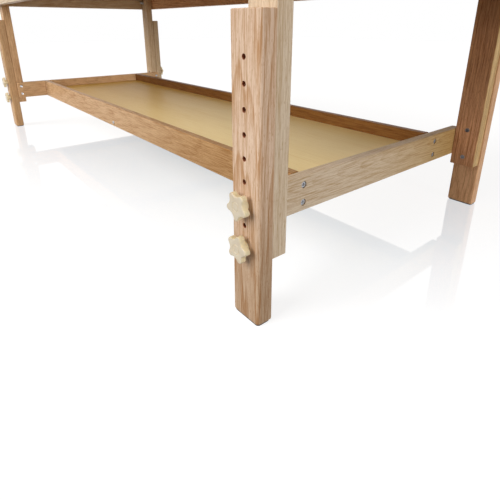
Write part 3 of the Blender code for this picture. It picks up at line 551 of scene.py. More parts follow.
def wood_figure():
    """Growth rings, streaks, fibres and ray flecks of sawn wood grained along X, with painted shade and
    light.
    """
    if "wood_figure" in bpy.data.node_groups:
        return bpy.data.node_groups["wood_figure"]
    tree, on, entry, leave = new_group(
        "wood_figure",
        [("Place", "Vector"), ("Seed", "Vector"), ("Early", "Color"), ("Late", "Color"),
         ("Pith", "Vector"), ("Lean", "Float"), ("Ring Width", "Float"), ("Ring Share", "Float"),
         ("Wander", "Float"), ("Streak Share", "Float"), ("Fibre Share", "Float"), ("Flecks", "Float"),
         ("Darker", "Float"), ("Darker From", "Float"), ("Darker To", "Float"), ("Shade", "Color"),
         ("Sap From", "Float")],
        [("Color", "Color"), ("Roughness", "Float"), ("Height", "Float")],
    )
    seeded = on.vector("ADD", entry["Place"], entry["Seed"])
    drift = on.vector("SUBTRACT", on.noise(seeded, DRIFT)[1], (NOISE_MIDDLE,) * 3)
    wander = on.add("ShaderNodeCombineXYZ", 0.0, entry["Wander"], entry["Wander"]).outputs[0]
    drifted = on.vector("ADD", entry["Place"], on.vector("MULTIPLY", drift, wander))
    along, side, depth = on.parts(on.vector("SUBTRACT", drifted, entry["Pith"]))
    leaned = on.math("SUBTRACT", side, on.math("MULTIPLY", along, entry["Lean"]))
    rings = on.math("DIVIDE", on.distance(leaned, depth), entry["Ring Width"])
    uneven = on.math("MULTIPLY", on.noise(seeded, UNEVENNESS)[0], UNEVEN_RINGS)
    ring = on.math("FRACT", on.math("ADD", rings, uneven))
    late = on.math("MULTIPLY", on.math("POWER", ring, LATE_WOOD_POWER), on.scaled(ring, *LATE_WOOD_ENDS))
    streak = on.scaled(on.noise(seeded, STREAKS)[0], *STREAKS_SHOW)
    fibre = on.noise(seeded, FIBRES)[0]
    cloud = on.scaled(on.noise(seeded, WOOD_CLOUDS)[0], *WOOD_CLOUDS_SHOW)
    fleck = on.scaled(on.noise(seeded, RAY_FLECKS)[0], *FLECKS_SHOW)
    marks = (
        on.math("MULTIPLY", late, entry["Ring Share"]),
        on.math("MULTIPLY", streak, entry["Streak Share"]),
        on.math("MULTIPLY", on.math("SUBTRACT", fibre, NOISE_MIDDLE), entry["Fibre Share"]),
        cloud,
    )
    amount = marks[0]
    for mark in marks[1:]:
        amount = on.math("ADD", amount, mark)
    toned = on.mix(amount, entry["Early"], entry["Late"])
    flecked = on.mix(on.math("MULTIPLY", fleck, entry["Flecks"]), toned, entry["Late"])
    from_middle = on.parts(entry["Place"])
    # Darkening along the board toward the shade colour: painted shade on some boards, the board's own tone
    # on others
    toward = on.scaled(from_middle[0], entry["Darker From"], entry["Darker To"])
    shaded = on.mix(on.math("MULTIPLY", toward, entry["Darker"]), flecked, entry["Shade"], "MULTIPLY")
    # Painted light: past the given place across the board the wood turns lighter and yellower, as on a lit
    # side
    beyond = on.math("DIVIDE", on.math("SUBTRACT", entry["Sap From"], from_middle[2]), PAINTED_LIGHT_SKIN)
    on.put(leave["Color"], on.mix(on.scaled(beyond, 0.0, 1.0), shaded, PAINTED_LIGHT_GAIN, "MULTIPLY"))
    on.put(leave["Roughness"], on.scaled(on.math("ADD", amount, fleck), *WOOD_ROUGHNESS))
    on.put(leave["Height"], on.math("SUBTRACT", fibre, on.math("MULTIPLY", fleck, FLECK_DENT)))
    return tree


def bore_shade():
    """Mask of the walls of a row of bores along Y, spaced upward from the first one, for painted shade."""
    if "bore_shade" in bpy.data.node_groups:
        return bpy.data.node_groups["bore_shade"]
    tree, on, entry, leave = new_group(
        "bore_shade",
        [("Place", "Vector"), ("First", "Vector"), ("Pitch", "Float"), ("Last", "Float"),
         ("Radius", "Float")],
        [("Mask", "Float")],
    )
    sideways, _, up = on.parts(on.vector("SUBTRACT", entry["Place"], entry["First"]))
    number = on.math("ROUND", on.math("DIVIDE", up, entry["Pitch"]))
    number = on.math("MINIMUM", on.math("MAXIMUM", number, 0.0), entry["Last"])
    above = on.math("SUBTRACT", up, on.math("MULTIPLY", number, entry["Pitch"]))
    beyond = on.math("SUBTRACT", on.distance(sideways, above), entry["Radius"])
    on.put(leave["Mask"], on.scaled(beyond, *BORE_SKIN))
    return tree


def wood_material(name, node, coat, figure, bores=None):
    """Wood with the grain along a board, its figure set from the middle of the CAD node.

    Bores, if any, are the inputs of bore_shade, which darkens the walls of the holes with painted shade.
    """
    material, on, shader = new_material(name)
    sawing = SAWINGS[node]
    tones = settings().wood
    early = getattr(tones, sawing.tone + "_early")
    late = getattr(tones, sawing.tone + "_late")
    turn = GRAIN_TURNS[sawing.grain]
    spot = on.spot()
    mapping = on.add("ShaderNodeMapping")
    on.fill(mapping, Vector=spot, Rotation=turn, Location=-(turn.to_matrix() @ box_centre(node)))
    # The darkening and the lighter side from SAWINGS, painted shade and painted light on some boards
    darker, darker_from, darker_to = sawing.darker
    wood = on.group(
        wood_figure(), Place=mapping.outputs[0], Seed=[sawing.seed * share for share in SEED_SPREAD],
        Early=rgba(early), Late=rgba(late), Pith=(0.0, *sawing.pith), Lean=sawing.lean,
        Ring_Width=sawing.width, Ring_Share=sawing.rings, Darker=darker, Darker_From=darker_from,
        Darker_To=darker_to, Shade=rgba(sawing.shade), Sap_From=sawing.sap, **figure,
    )
    shown = wood["Color"]
    if bores is not None:
        # Painted shade on the walls of the holes
        walls = on.group(bore_shade(), Place=spot, **bores)["Mask"]
        shown = on.mix(walls, shown, rgba(tones.bore_wall_painted_shade))
    on.fill(
        shader, Base_Color=shown, Roughness=wood["Roughness"],
        Normal=on.bump(wood["Height"], *WOOD_BUMP), Specular_IOR_Level=WOOD_SPECULAR,
        Coat_Weight=coat, Coat_Roughness=COAT_ROUGHNESS,
    )
    return material


def board_material(node, bores=None):
    return wood_material(node + "_wood", node, BARE_COAT, BOARD_FIGURE, bores)


def kept_material(name, maker):
    """The material of that name, made on first use."""
    return bpy.data.materials.get(name) or maker(name)


def zinc_material(name):
    return plated_material(name, settings().hardware.zinc)


# Painted shade: the plated finish made darker for parts that sit in the table's shade
def plate_painted_shade_material(name):
    return plated_material(name, settings().hardware.steel)


def plated_material(name, tone):
    """Plated metal with faint cloudy passivation and fine scratches."""
    material, on, shader = new_material(name)
    spot = on.spot()
    cloud = on.scaled(on.noise(spot, PLATE_CLOUDS)[0], *PLATE_CLOUDS_SHOW)
    scratch = on.noise(spot, SCRATCHES)[0]
    on.fill(
        shader, Base_Color=on.mix(cloud, rgba(tone), tinted(tone, PLATE_STRAW)),
        Roughness=on.scaled(scratch, *PLATE_ROUGHNESS), Normal=on.bump(scratch, *PLATE_BUMP),
        Metallic=1.0,
    )
    return material


def ivory_material(name):
    """Moulded ivory plastic with a faint flow mottling, a soft gloss and painted light off its front face.
    """
    material, on, shader = new_material(name)
    hardware = settings().hardware
    spot = on.spot()
    flow = on.scaled(on.noise(spot, MOULD_FLOW)[0], *MOULD_FLOW_SHOWS)
    face = on.mix(flow, rgba(hardware.ivory), tinted(hardware.ivory, MOULD_DEEP))
    # Painted light: behind the front edge the knob turns lighter and yellower, as on lit flanks
    front = box_span("star_knob_front_right_lower").y
    painted_flank_light = on.scaled(on.parts(spot)[2], front - hardware.knob_edge, front, 1.0, 0.0)
    grain = on.noise(spot, MOULD_GRAIN)[0]
    on.fill(
        shader, Base_Color=on.mix(painted_flank_light, face, rgba(hardware.ivory_flank_painted_light)),
        Roughness=on.scaled(grain, *MOULD_ROUGHNESS), Normal=on.bump(grain, *MOULD_BUMP),
        Subsurface_Weight=MOULD_GLOW, Subsurface_Radius=MOULD_GLOW_RADIUS,
        Subsurface_Scale=MOULD_GLOW_SCALE,
    )
    return material


def felt_material(name):
    """Pressed felt: dark, dull and fuzzy."""
    material, on, shader = new_material(name)
    felt = settings().hardware.felt
    fuzz = on.noise(on.spot(), FUZZ)[0]
    on.fill(
        shader, Base_Color=on.mix(on.scaled(fuzz, *FUZZ_SHOWS), rgba(felt), tinted(felt, FELT_LINT)),
        Roughness=FELT_ROUGHNESS, Sheen_Weight=FELT_SHEEN, Normal=on.bump(fuzz, *FELT_BUMP),
    )
    return material


def hide_grain():
    """Pebbled grain of coated upholstery cloth, gentle tone changes, and painted shade in the grain's
    hollows.
    """
    if "hide_grain" in bpy.data.node_groups:
        return bpy.data.node_groups["hide_grain"]
    tree, on, entry, leave = new_group(
        "hide_grain",
        [("Place", "Vector"), ("Tone", "Color"), ("Cells", "Float")],
        [("Color", "Color"), ("Roughness", "Float"), ("Height", "Float")],
    )
    warp = on.noise(entry["Place"], HIDE_WARP)[1]
    bent = on.vector("ADD", entry["Place"], on.vector("MULTIPLY", warp, WARP_REACH))
    pebble = on.add("ShaderNodeTexVoronoi", feature="SMOOTH_F1")
    on.fill(pebble, Vector=bent, Scale=entry["Cells"])
    crease = on.scaled(pebble.outputs["Distance"], *CREASES_SHOW)
    cloud = on.scaled(on.noise(entry["Place"], HIDE_CLOUDS)[0], *HIDE_CLOUDS_SHOW)
    shade = on.mix(1.0, entry["Tone"], rgba(HIDE_TONE_AND_PAINTED_SHADE), "MULTIPLY")
    toned = on.mix(cloud, entry["Tone"], shade)
    # Painted shade: the grain's hollows are darkened toward the shade colour
    on.put(leave["Color"], on.mix(on.math("MULTIPLY", crease, CREASE_PAINTED_SHADE), toned, shade))
    on.put(leave["Roughness"], on.scaled(crease, *HIDE_ROUGHNESS))
    on.put(leave["Height"], on.math("SUBTRACT", 1.0, crease))
    return tree


def hide_material(name, tone, pebbles):
    material, on, shader = new_material(name)
    grain = on.group(hide_grain(), Place=on.spot(), Tone=tone, Cells=pebbles)
    on.fill(
        shader, Base_Color=grain["Color"], Roughness=grain["Roughness"],
        Normal=on.bump(grain["Height"], *HIDE_BUMP), Sheen_Weight=HIDE_SHEEN,
    )
    return material


def cover_material(name):
    return hide_material(name, rgba(settings().padding.cover), COVER_PEBBLES)


def welt_material(name):
    return hide_material(name, tinted(settings().padding.cover, WELT_SHADE), WELT_PEBBLES)


def thread_material(name):
    """Twisted sewing thread."""
    material, on, shader = new_material(name)
    tone = settings().padding.thread
    twist = on.noise(on.spot(), THREAD_TWIST)[0]
    on.fill(
        shader, Base_Color=on.mix(on.scaled(twist, *TWIST_SHOWS), rgba(tone), tinted(tone, TWIST_DEEP)),
        Roughness=THREAD_ROUGHNESS, Normal=on.bump(twist, *THREAD_BUMP),
    )
    return material


# Frame helpers


def side_signs(leg):
    """(+1 at the right end, +1 at the rear) for a leg."""
    return (1 if leg.endswith("right") else -1), (1 if leg.startswith("rear") else -1)


def box_centre(node):
    low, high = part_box(node)
    return (low + high) / 2


def box_span(node):
    low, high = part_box(node)
    return high - low


def side_of(node, axis, sign):
    """Where a CAD node ends along an axis, at the high end for a positive sign."""
    low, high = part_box(node)
    return high[axis] if sign > 0 else low[axis]


# Mesh helpers


def new_piece(name, bm, material):
    """A smooth-shaded object from a bmesh, with crisp edges kept sharp."""
    bmesh.ops.recalc_face_normals(bm, faces=bm.faces)
    mesh = bpy.data.meshes.new(name)
    bm.to_mesh(mesh)
    bm.free()
    piece = bpy.data.objects.new(name, mesh)
    bpy.context.scene.collection.objects.link(piece)
    mesh.materials.append(material)
    finish_shading(piece)
    return piece


def finish_shading(piece):
    piece.data.shade_smooth()
    piece.data.set_sharp_from_angle(angle=SHARP_ANGLE)


def even_normals(piece):
    """Keeps the broad flat faces flat beside their rounded edges."""
    modifier = piece.modifiers.new("even_normals", "WEIGHTED_NORMAL")
    modifier.keep_sharp = True
    modifier.weight = NORMAL_WEIGHT


def place(piece, body, slot, *nodes):
    """The piece rides on a body and stands for CAD nodes, which are hidden. The slot is not used."""
    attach(piece, body)
    if nodes:
        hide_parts(*nodes)
    return piece


class LikePieces:
    """Pieces of one shape and material that share the first one's mesh."""

    def __init__(self, shape, material, slot):
        self.shape = shape
        self.material = material
        self.slot = slot
        self.first = None

    def add(self, name, seat, body, *nodes):
        if self.first is None:
            piece = new_piece(name, self.shape, self.material)
            self.first = piece
        else:
            piece = bpy.data.objects.new(name, self.first.data)
            bpy.context.scene.collection.objects.link(piece)
        piece.matrix_world = seat
        place(piece, body, self.slot, *nodes)


def pointing(point, direction):
    """The matrix that puts local +Z along a direction from a point, with local X level."""
    z_axis = Vector(direction).normalized()
    upward = Z_AXIS if abs(z_axis.z) < UPRIGHT else Y_AXIS
    x_axis = upward.cross(z_axis).normalized()
    turn = Matrix((x_axis, z_axis.cross(x_axis), z_axis)).transposed()
    return Matrix.Translation(point) @ turn.to_4x4()


def add_rings(bm, rings, looped=False):
    """A closed skin over rings of equally many points, its ends capped or looped together."""
    rows = [[bm.verts.new(point) for point in ring] for ring in rings]
    count = len(rows[0])
    following = rows[1:] + rows[:1] if looped else rows[1:]
    for first, second in zip(rows, following):
        for i in range(count):
            j = (i + 1) % count
            bm.faces.new((first[i], first[j], second[j], second[i]))
    if not looped:
        bm.faces.new(rows[0])
        bm.faces.new(rows[-1])


def add_rings_at(bm, matrix, rings):
    """A closed skin over rings, moved by a matrix."""
    add_rings(bm, [[matrix @ point for point in ring] for ring in rings])


def skin(rings, looped=False):
    bm = bmesh.new()
    add_rings(bm, rings, looped)
    return bm


def polar(radius, angle, height=0.0):
    return Vector((radius * math.cos(angle), radius * math.sin(angle), height))


def circle(radius, height, sides=HEAD_SIDES):
    step = FULL_TURN / sides
    return [polar(radius, i * step, height) for i in range(sides)]


def turned(profile, sides=HEAD_SIDES):
    """Circles of a turned shape, from the radius and height of each step."""
    return [circle(radius, height, sides) for radius, height in profile]


def hexagon(flat_radius, height, reach=None, sides=HEAD_SIDES):
    """A hexagon of that radius to its flats, its corners cut to a reach if one is given."""
    points = []
    for i in range(sides):
        angle = FULL_TURN * i / sides
        radius = flat_radius / math.cos((angle + math.pi / 6) % (math.pi / 3) - math.pi / 6)
        radius = min(radius, reach) if reach else radius
        points.append(polar(radius, angle, height))
    return points


def quarter_round(radius, steps):
    """Over a rounded edge, how far each step lies in from the side and below the face."""
    angles = [QUARTER_TURN * i / steps for i in range(steps + 1)]
    return [(radius * (1 - math.cos(angle)), radius * (1 - math.sin(angle))) for angle in angles]


def rounded_rings(radius, top, rounding):
    """Circles that round a turned edge over, up to the given top."""
    return turned([(radius - inset, top - drop) for inset, drop in quarter_round(rounding, EDGE_STEPS)])


def socket_head(radius, head):
    """Rings of a round head with a hexagon socket, standing on height 0."""
    return [
        circle(radius, 0.0),
        *rounded_rings(radius, head.thick, head.rounding),
        circle(head.socket * SOCKET_MOUTH, head.thick),
        hexagon(head.socket, head.thick - SOCKET_EASING),
        hexagon(head.socket, head.thick - head.deep),
        circle(head.socket * SOCKET_TIP, head.thick - head.deep * SOCKET_CONE),
    ]


def tube_ring(middle, normal, side, radius, sides):
    """A ring round a point of a thread or a piping, across its run."""
    angles = [FULL_TURN * i / sides for i in range(sides)]
    return [middle + (normal * math.cos(angle) + side * math.sin(angle)) * radius for angle in angles]


def box_bmesh(low, high):
    bm = bmesh.new()
    bmesh.ops.create_cube(bm, size=1.0)
    bmesh.ops.scale(bm, vec=high - low, verts=bm.verts)
    bmesh.ops.translate(bm, vec=(high + low) / 2, verts=bm.verts)
    return bm


def round_edges(bm, edges, radius, steps):
    bmesh.ops.bevel(
        bm, geom=edges, offset=radius, offset_type="OFFSET", segments=steps, profile=0.5, affect="EDGES"
    )


def edges_along(bm, axis):
    return [e for e in bm.edges if abs((e.verts[1].co - e.verts[0].co).normalized().dot(axis)) > PARALLEL]


def edges_at_ends(bm, axis):
    """Edges round the two end faces across the axis."""
    bm.normal_update()
    return list({e for f in bm.faces if abs(f.normal.dot(axis)) > PARALLEL for e in f.edges})


def sawn_board(low, high, grain, edge, end):
    """A board with rounded long edges and eased ends."""
    axis = {"X": X_AXIS, "Y": Y_AXIS, "Z": Z_AXIS}[grain]
    bm = box_bmesh(low, high)
    round_edges(bm, edges_along(bm, axis), edge, EDGE_STEPS)
    round_edges(bm, edges_at_ends(bm, axis), end, EDGE_STEPS - 1)
    return bm


def drill(bm, matrix, radius, depth, easing):
    """Adds a drill's shape to a bmesh of cutters, its mouth eased, going in along local -Z."""
    profile = ((radius + easing + OVERCUT, OVERCUT), (radius, -easing), (radius, -depth))
    add_rings_at(bm, matrix, turned(profile, HOLE_SIDES))


def drill_through(bm, near, far, radius, easing):
    """Adds a through hole's cutter, eased at both mouths, between two points."""
    span = far - near
    wide = radius + easing + OVERCUT
    end = span.length
    profile = ((wide, -OVERCUT), (radius, easing), (radius, end - easing), (wide, end + OVERCUT))
    add_rings_at(bm, pointing(near, span), turned(profile, HOLE_SIDES))


def apply_modifiers(piece):
    """Puts the mesh that a piece's modifiers make in place of its own."""
    graph = bpy.context.evaluated_depsgraph_get()
    made = bpy.data.meshes.new_from_object(piece.evaluated_get(graph))
    piece.modifiers.clear()
    old = piece.data
    piece.data = made
    made.name = piece.name
    bpy.data.meshes.remove(old)
    made.shade_smooth()


def cut(piece, cutters):
    """Takes a bmesh of closed cutters out of a piece."""
    bmesh.ops.recalc_face_normals(cutters, faces=cutters.faces)
    mesh = bpy.data.meshes.new("cutter")
    cutters.to_mesh(mesh)
    cutters.free()
    cutter = bpy.data.objects.new("cutter", mesh)
    bpy.context.scene.collection.objects.link(cutter)
    modifier = piece.modifiers.new("cut", "BOOLEAN")
    modifier.operation = "DIFFERENCE"
    modifier.solver = "EXACT"
    modifier.object = cutter
    apply_modifiers(piece)
    bpy.data.objects.remove(cutter)
    bpy.data.meshes.remove(mesh)
    finish_shading(piece)


def wooden_board(node, body, slot, edge, end, cutters=None):
    """A finer board in place of a CAD node, with its own wood."""
    low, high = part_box(node)
    piece = new_piece(
        node + "_board", sawn_board(low, high, SAWINGS[node].grain, edge, end), board_material(node)
    )
    if cutters is not None:
        cut(piece, cutters)
    even_normals(piece)
    return place(piece, body, slot, node)


def rail_board(node, cutters=None):
    wood = settings().wood
    wooden_board(node, "frame", "rail_wood", wood.board_edge, wood.board_end, cutters)


# Operators


class UpperLegsOperator(Operator):
    """Build the four upper legs"""

    bl_idname = "massage_table.upper_legs"
    bl_label = "Upper Legs"

    NUT_ROOM = 0.0001

    def execute(self, context):
        wood = context.scene.massage_table.wood
        for leg in LEGS:
            bores = self.bores(leg, wood.hole_radius)
            wooden_board("upper_leg_" + leg, "frame", "leg_wood", wood.upper_edge, wood.upper_edge, bores)
        return {"FINISHED"}

    def bores(self, leg, hole):
        """The studs' holes through the board and the insert nuts' seats in its inner face."""
        board = "upper_leg_" + leg
        rear = side_signs(leg)[1]
        inner = side_of(board, ACROSS, -rear)
        through = -box_span(board).y - OVERCUT
        cutters = bmesh.new()
        for level in LEVELS:
            centre = box_centre("stud_" + leg + "_" + level)
            nut = box_span("insert_nut_" + leg + "_" + level)
            barrel = nut.x / 2 - NUT_FLANGE + self.NUT_ROOM
            profile = ((barrel, OVERCUT), (barrel, -nut.y), (hole, -nut.y), (hole, through))
            seat = pointing(Vector((centre.x, inner, centre.z)), Vector((0, -rear, 0)))
            add_rings_at(cutters, seat, turned(profile, HOLE_SIDES))
        return cutters


class LowerLegsOperator(Operator):
    """Build the four drilled lower legs"""

    bl_idname = "massage_table.lower_legs"
    bl_label = "Lower Legs"

    LEAST_ROUND = 0.0004

    def execute(self, context):
        table = context.scene.massage_table
        for leg in LEGS:
            self.build(leg, table.wood, table.hardware.pad_depth)
        return {"FINISHED"}

    def build(self, leg, wood, pad_depth):
        node = "lower_leg_" + leg
        low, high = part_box(node)
        low.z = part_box("foot_pad_" + leg)[0].z + pad_depth
        rear = side_signs(leg)[1]
        first = box_centre("stud_" + leg + "_lower")
        # The bores' walls get painted shade in the board's material
        bores = dict(
            First=first, Pitch=wood.hole_pitch, Last=wood.hole_count - 1.0, Radius=wood.hole_radius
        )
        shape = skin(self.rings(low, high, rear, wood))
        piece = new_piece(node + "_board", shape, board_material(node, bores))
        holes = bmesh.new()
        for i in range(wood.hole_count):
            height = first.z + i * wood.hole_pitch
            near = Vector((first.x, low.y, height))
            far = Vector((first.x, high.y, height))
            drill_through(holes, near, far, wood.hole_radius, wood.hole_easing)
        cut(piece, holes)
        even_normals(piece)
        place(piece, "leg_" + leg, "leg_wood", node)

    def rings(self, low, high, rear, wood):
        """Rings up the leg: a well rounded foot end, straight sides, an eased top end."""
        steps = [(inset, low.z + rise) for rise, inset in quarter_round(wood.leg_foot, BIG_ROUND_STEPS)]
        steps += [(inset, high.z - drop) for inset, drop in quarter_round(wood.leg_top, EDGE_STEPS)]
        return [self.section(low, high, rear, wood, inset, height) for inset, height in steps]

    def section(self, low, high, rear, wood, inset, height):
        """The leg's outline at a height: wide rounding on the outer side, small on the inner."""
        points = []
        for x_sign, y_sign in CORNERS:
            rounding = wood.leg_edge if y_sign == rear else wood.board_edge
            rounding = max(rounding - inset, self.LEAST_ROUND)
            corner = Vector((high.x if x_sign > 0 else low.x, high.y if y_sign > 0 else low.y, height))
            middle = corner - Vector((x_sign, y_sign, 0)) * (inset + rounding)
            start = math.atan2(y_sign, x_sign) - math.pi / 4
            for i in range(BIG_ROUND_STEPS + 1):
                angle = start + QUARTER_TURN * i / BIG_ROUND_STEPS
                points.append(middle + rounding * polar(1.0, angle))
        return points


class FootPadsOperator(Operator):
    """Build the felt pads under the lower legs"""

    bl_idname = "massage_table.foot_pads"
    bl_label = "Foot Pads"

    EDGE_SHARE = 0.3

    def execute(self, context):
        hardware = context.scene.massage_table.hardware
        for leg in LEGS:
            node = "foot_pad_" + leg
            leg_low, leg_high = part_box("lower_leg_" + leg)
            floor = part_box(node)[0].z
            inset = Vector((hardware.pad_inset, hardware.pad_inset, 0))
            low, high = leg_low + inset, leg_high - inset
            low.z, high.z = floor, floor + hardware.pad_depth
            bm = box_bmesh(low, high)
            round_edges(bm, edges_along(bm, Z_AXIS), hardware.pad_corner, EDGE_STEPS)
            rounding = hardware.pad_depth * self.EDGE_SHARE
            round_edges(bm, edges_at_ends(bm, Z_AXIS), rounding, EDGE_STEPS - 1)
            piece = new_piece(node + "_felt", bm, kept_material("foot_felt", felt_material))
            place(piece, "leg_" + leg, "felt", node)
        return {"FINISHED"}


class StarKnobsOperator(Operator):
    """Build the eight star knobs"""

    bl_idname = "massage_table.star_knobs"
    bl_label = "Star Knobs"

    LOBE_STEPS = 14
    VALLEY_STEPS = 10
    # Rounding of the star's back edge, and where its middle lies
    BACK_EDGE = 0.001
    BACK_BEND = 0.0003
    DRAFT = 0.0003
    BORE_DEPTH = 0.008
    # The groove round the face's disc: steps out from the disc's edge in widths of the groove, and
    # down from the face in depths of it, then the disc's dish and its flat middle
    GROOVE_WIDTH = 0.0011
    GROOVE_DEPTH = 0.0005
    GROOVE = ((1.0, 0.0), (0.3, 0.15), (0.0, 1.0), (-0.6, 1.0), (-1.0, 0.2))
    DISH_REACH = 0.8
    DISH_DEPTH = 0.02
    FLAT_REACH = 0.3

    def execute(self, context):
        hardware = context.scene.massage_table.hardware
        shape = self.moulding(hardware, box_span("star_knob_front_right_lower").y)
        knobs = LikePieces(shape, kept_material("ivory_plastic", ivory_material), "cream_plastic")
        for order, (leg, level) in enumerate(SCREW_SPOTS):
            spot = leg + "_" + level
            node = "star_knob_" + spot
            rear = side_signs(leg)[1]
            centre = box_centre("stud_" + spot)
            back = Vector((centre.x, side_of(node, ACROSS, -rear), centre.z))
            turn = hardware.lower_turn
            if level == "upper":
                turn = hardware.upper_turn + hardware.turn_step * (order // len(LEVELS))
            seat = pointing(back, Vector((0, rear, 0))) @ Matrix.Rotation(turn, 4, "Z")
            knobs.add(node + "_moulding", seat, "knob_" + spot, node)
        return {"FINISHED"}

    def outline(self, hardware, inset, height):
        """The star's outline: round lobes and hollow valleys, tangent, moved in by an inset."""
        lobe_radius, valley = hardware.knob_lobe, hardware.knob_valley
        reach = hardware.knob_radius - lobe_radius
        half = math.pi / hardware.knob_lobes
        square = reach**2 + valley**2 - 2 * reach * valley * math.cos(half) - lobe_radius**2
        valley_radius = square / 2 / (lobe_radius + reach * math.cos(half) - valley)
        lobe_centre = Vector((reach, 0, height))
        valley_centre = polar(valley + valley_radius, half, height)
        lobe_swing = math.atan2(valley_centre.y, valley_centre.x - reach)
        valley_swing = lobe_swing - half
        one_lobe = []
        for step in range(self.LOBE_STEPS + 1):
            angle = lobe_swing * (2 * step / self.LOBE_STEPS - 1)
            one_lobe.append(lobe_centre + (lobe_radius - inset) * polar(1.0, angle))
        for step in range(1, self.VALLEY_STEPS):
            angle = half + math.pi + valley_swing * (1 - 2 * step / self.VALLEY_STEPS)
            one_lobe.append(valley_centre + (valley_radius + inset) * polar(1.0, angle))
        turns = [Matrix.Rotation(2 * half * lobe, 3, "Z") for lobe in range(hardware.knob_lobes)]
        return [turn @ point for turn in turns for point in one_lobe]

    def moulding(self, hardware, depth):
        """Hub, star body with rounded edges, and a face with a groove round its disc."""
        back = hardware.knob_hub_depth
        angles = [math.atan2(point.y, point.x) for point in self.outline(hardware, 0.0, 0.0)]

        def disc(radius, height):
            return [polar(radius, angle, height) for angle in angles]

        rings = [
            disc(hardware.thread_radius, self.BORE_DEPTH),
            disc(hardware.thread_radius, 0.0),
            disc(hardware.knob_hub_radius, 0.0),
            disc(hardware.knob_hub_radius, back),
            self.outline(hardware, self.BACK_EDGE, back),
            self.outline(hardware, self.BACK_BEND, back + self.BACK_BEND),
            self.outline(hardware, 0.0, back + self.BACK_EDGE),
        ]
        for inset, drop in quarter_round(hardware.knob_edge, BIG_ROUND_STEPS):
            rings.append(self.outline(hardware, self.DRAFT + inset, depth - drop))
        face = hardware.knob_disc
        for out, down in self.GROOVE:
            rings.append(disc(face + out * self.GROOVE_WIDTH, depth - down * self.GROOVE_DEPTH))
        dish = self.DISH_REACH * (face - self.GROOVE_WIDTH)
        rings.append(disc(dish, depth - self.DISH_DEPTH * self.GROOVE_DEPTH))
        rings.append(disc(self.FLAT_REACH * face, depth))
        return skin(rings)


class KnobStudsOperator(Operator):
    """Build the threaded studs moulded into the knobs"""

    bl_idname = "massage_table.knob_studs"
    bl_label = "Knob Studs"

    # The centre drilling's radius in radii of the thread, its tip and depth in radii of the drilling
    DRILLING = 0.36
    DRILLING_TIP = 0.15
    DRILLING_DEPTH = 2
    # The start's radius in radii of the thread, and how much it gains with each pitch
    START = 0.60
    START_GAIN = 0.25

    def execute(self, context):
        hardware = context.scene.massage_table.hardware
        shape = self.rod(hardware, box_span("stud_front_right_lower").y)
        studs = LikePieces(shape, kept_material("plate_painted_shade", plate_painted_shade_material), "zinc")
        for leg, level in SCREW_SPOTS:
            spot = leg + "_" + level
            node = "stud_" + spot
            rear = side_signs(leg)[1]
            centre = box_centre(node)
            tip = Vector((centre.x, side_of(node, ACROSS, -rear), centre.z))
            studs.add(node + "_thread", pointing(tip, Vector((0, rear, 0))), "screw_" + spot, node)
        return {"FINISHED"}

    def rod(self, hardware, reach):
        """A rod with a real helical thread and a pointed start with a centre drilling."""
        rows = int(reach / hardware.thread_pitch * THREAD_ROWS_PER_TURN)
        drilling = hardware.thread_radius * self.DRILLING
        profile = ((drilling * self.DRILLING_TIP, drilling * self.DRILLING_DEPTH), (drilling, 0.0))
        rings = turned(profile, THREAD_SIDES)
        for row in range(rows + 1):
            height = reach * row / rows
            start = min(1.0, self.START + height / hardware.thread_pitch * self.START_GAIN)
            points = []
            for i in range(THREAD_SIDES):
                turn = i / THREAD_SIDES
                phase = (height / hardware.thread_pitch - turn) % 1.0
                groove = hardware.thread_depth * abs(2 * phase - 1)
                points.append(polar((hardware.thread_radius - groove) * start, FULL_TURN * turn, height))
            rings.append(points)
        return skin(rings)


class InsertNutsOperator(Operator):
    """Build the flanged insert nuts in the upper legs"""

    bl_idname = "massage_table.insert_nuts"
    bl_label = "Insert Nuts"

    FLANGE_DEPTH = 0.0004
    FLANGE_RIM = 0.0003
    BORE_ROOM = 0.0003
    BORE_EASING = 0.0004

    def execute(self, context):
        hardware = context.scene.massage_table.hardware
        shape = self.flanged(hardware, box_span("insert_nut_front_right_lower"))
        nuts = LikePieces(shape, kept_material("plate_painted_shade", plate_painted_shade_material), "zinc")
        for leg, level in SCREW_SPOTS:
            node = "insert_nut_" + leg + "_" + level
            rear = side_signs(leg)[1]
            centre = box_centre(node)
            face = Vector((centre.x, side_of(node, ACROSS, -rear), centre.z))
            nuts.add(node + "_turned", pointing(face, Vector((0, -rear, 0))), "frame", node)
        return {"FINISHED"}

    def flanged(self, hardware, span):
        """Flange with a rounded rim and a chamfered bore, then the barrel in the wood."""
        flange = span.x / 2
        barrel = flange - NUT_FLANGE
        bore = hardware.thread_radius + self.BORE_ROOM
        inside = ((bore, -span.y), (bore, -self.BORE_EASING), (bore + self.BORE_EASING, 0.0))
        outside = ((flange, -self.FLANGE_DEPTH), (barrel, -self.FLANGE_DEPTH), (barrel, -span.y))
        rim = reversed(rounded_rings(flange, 0.0, self.FLANGE_RIM))
        return skin([*turned(inside), *rim, *turned(outside)], looped=True)


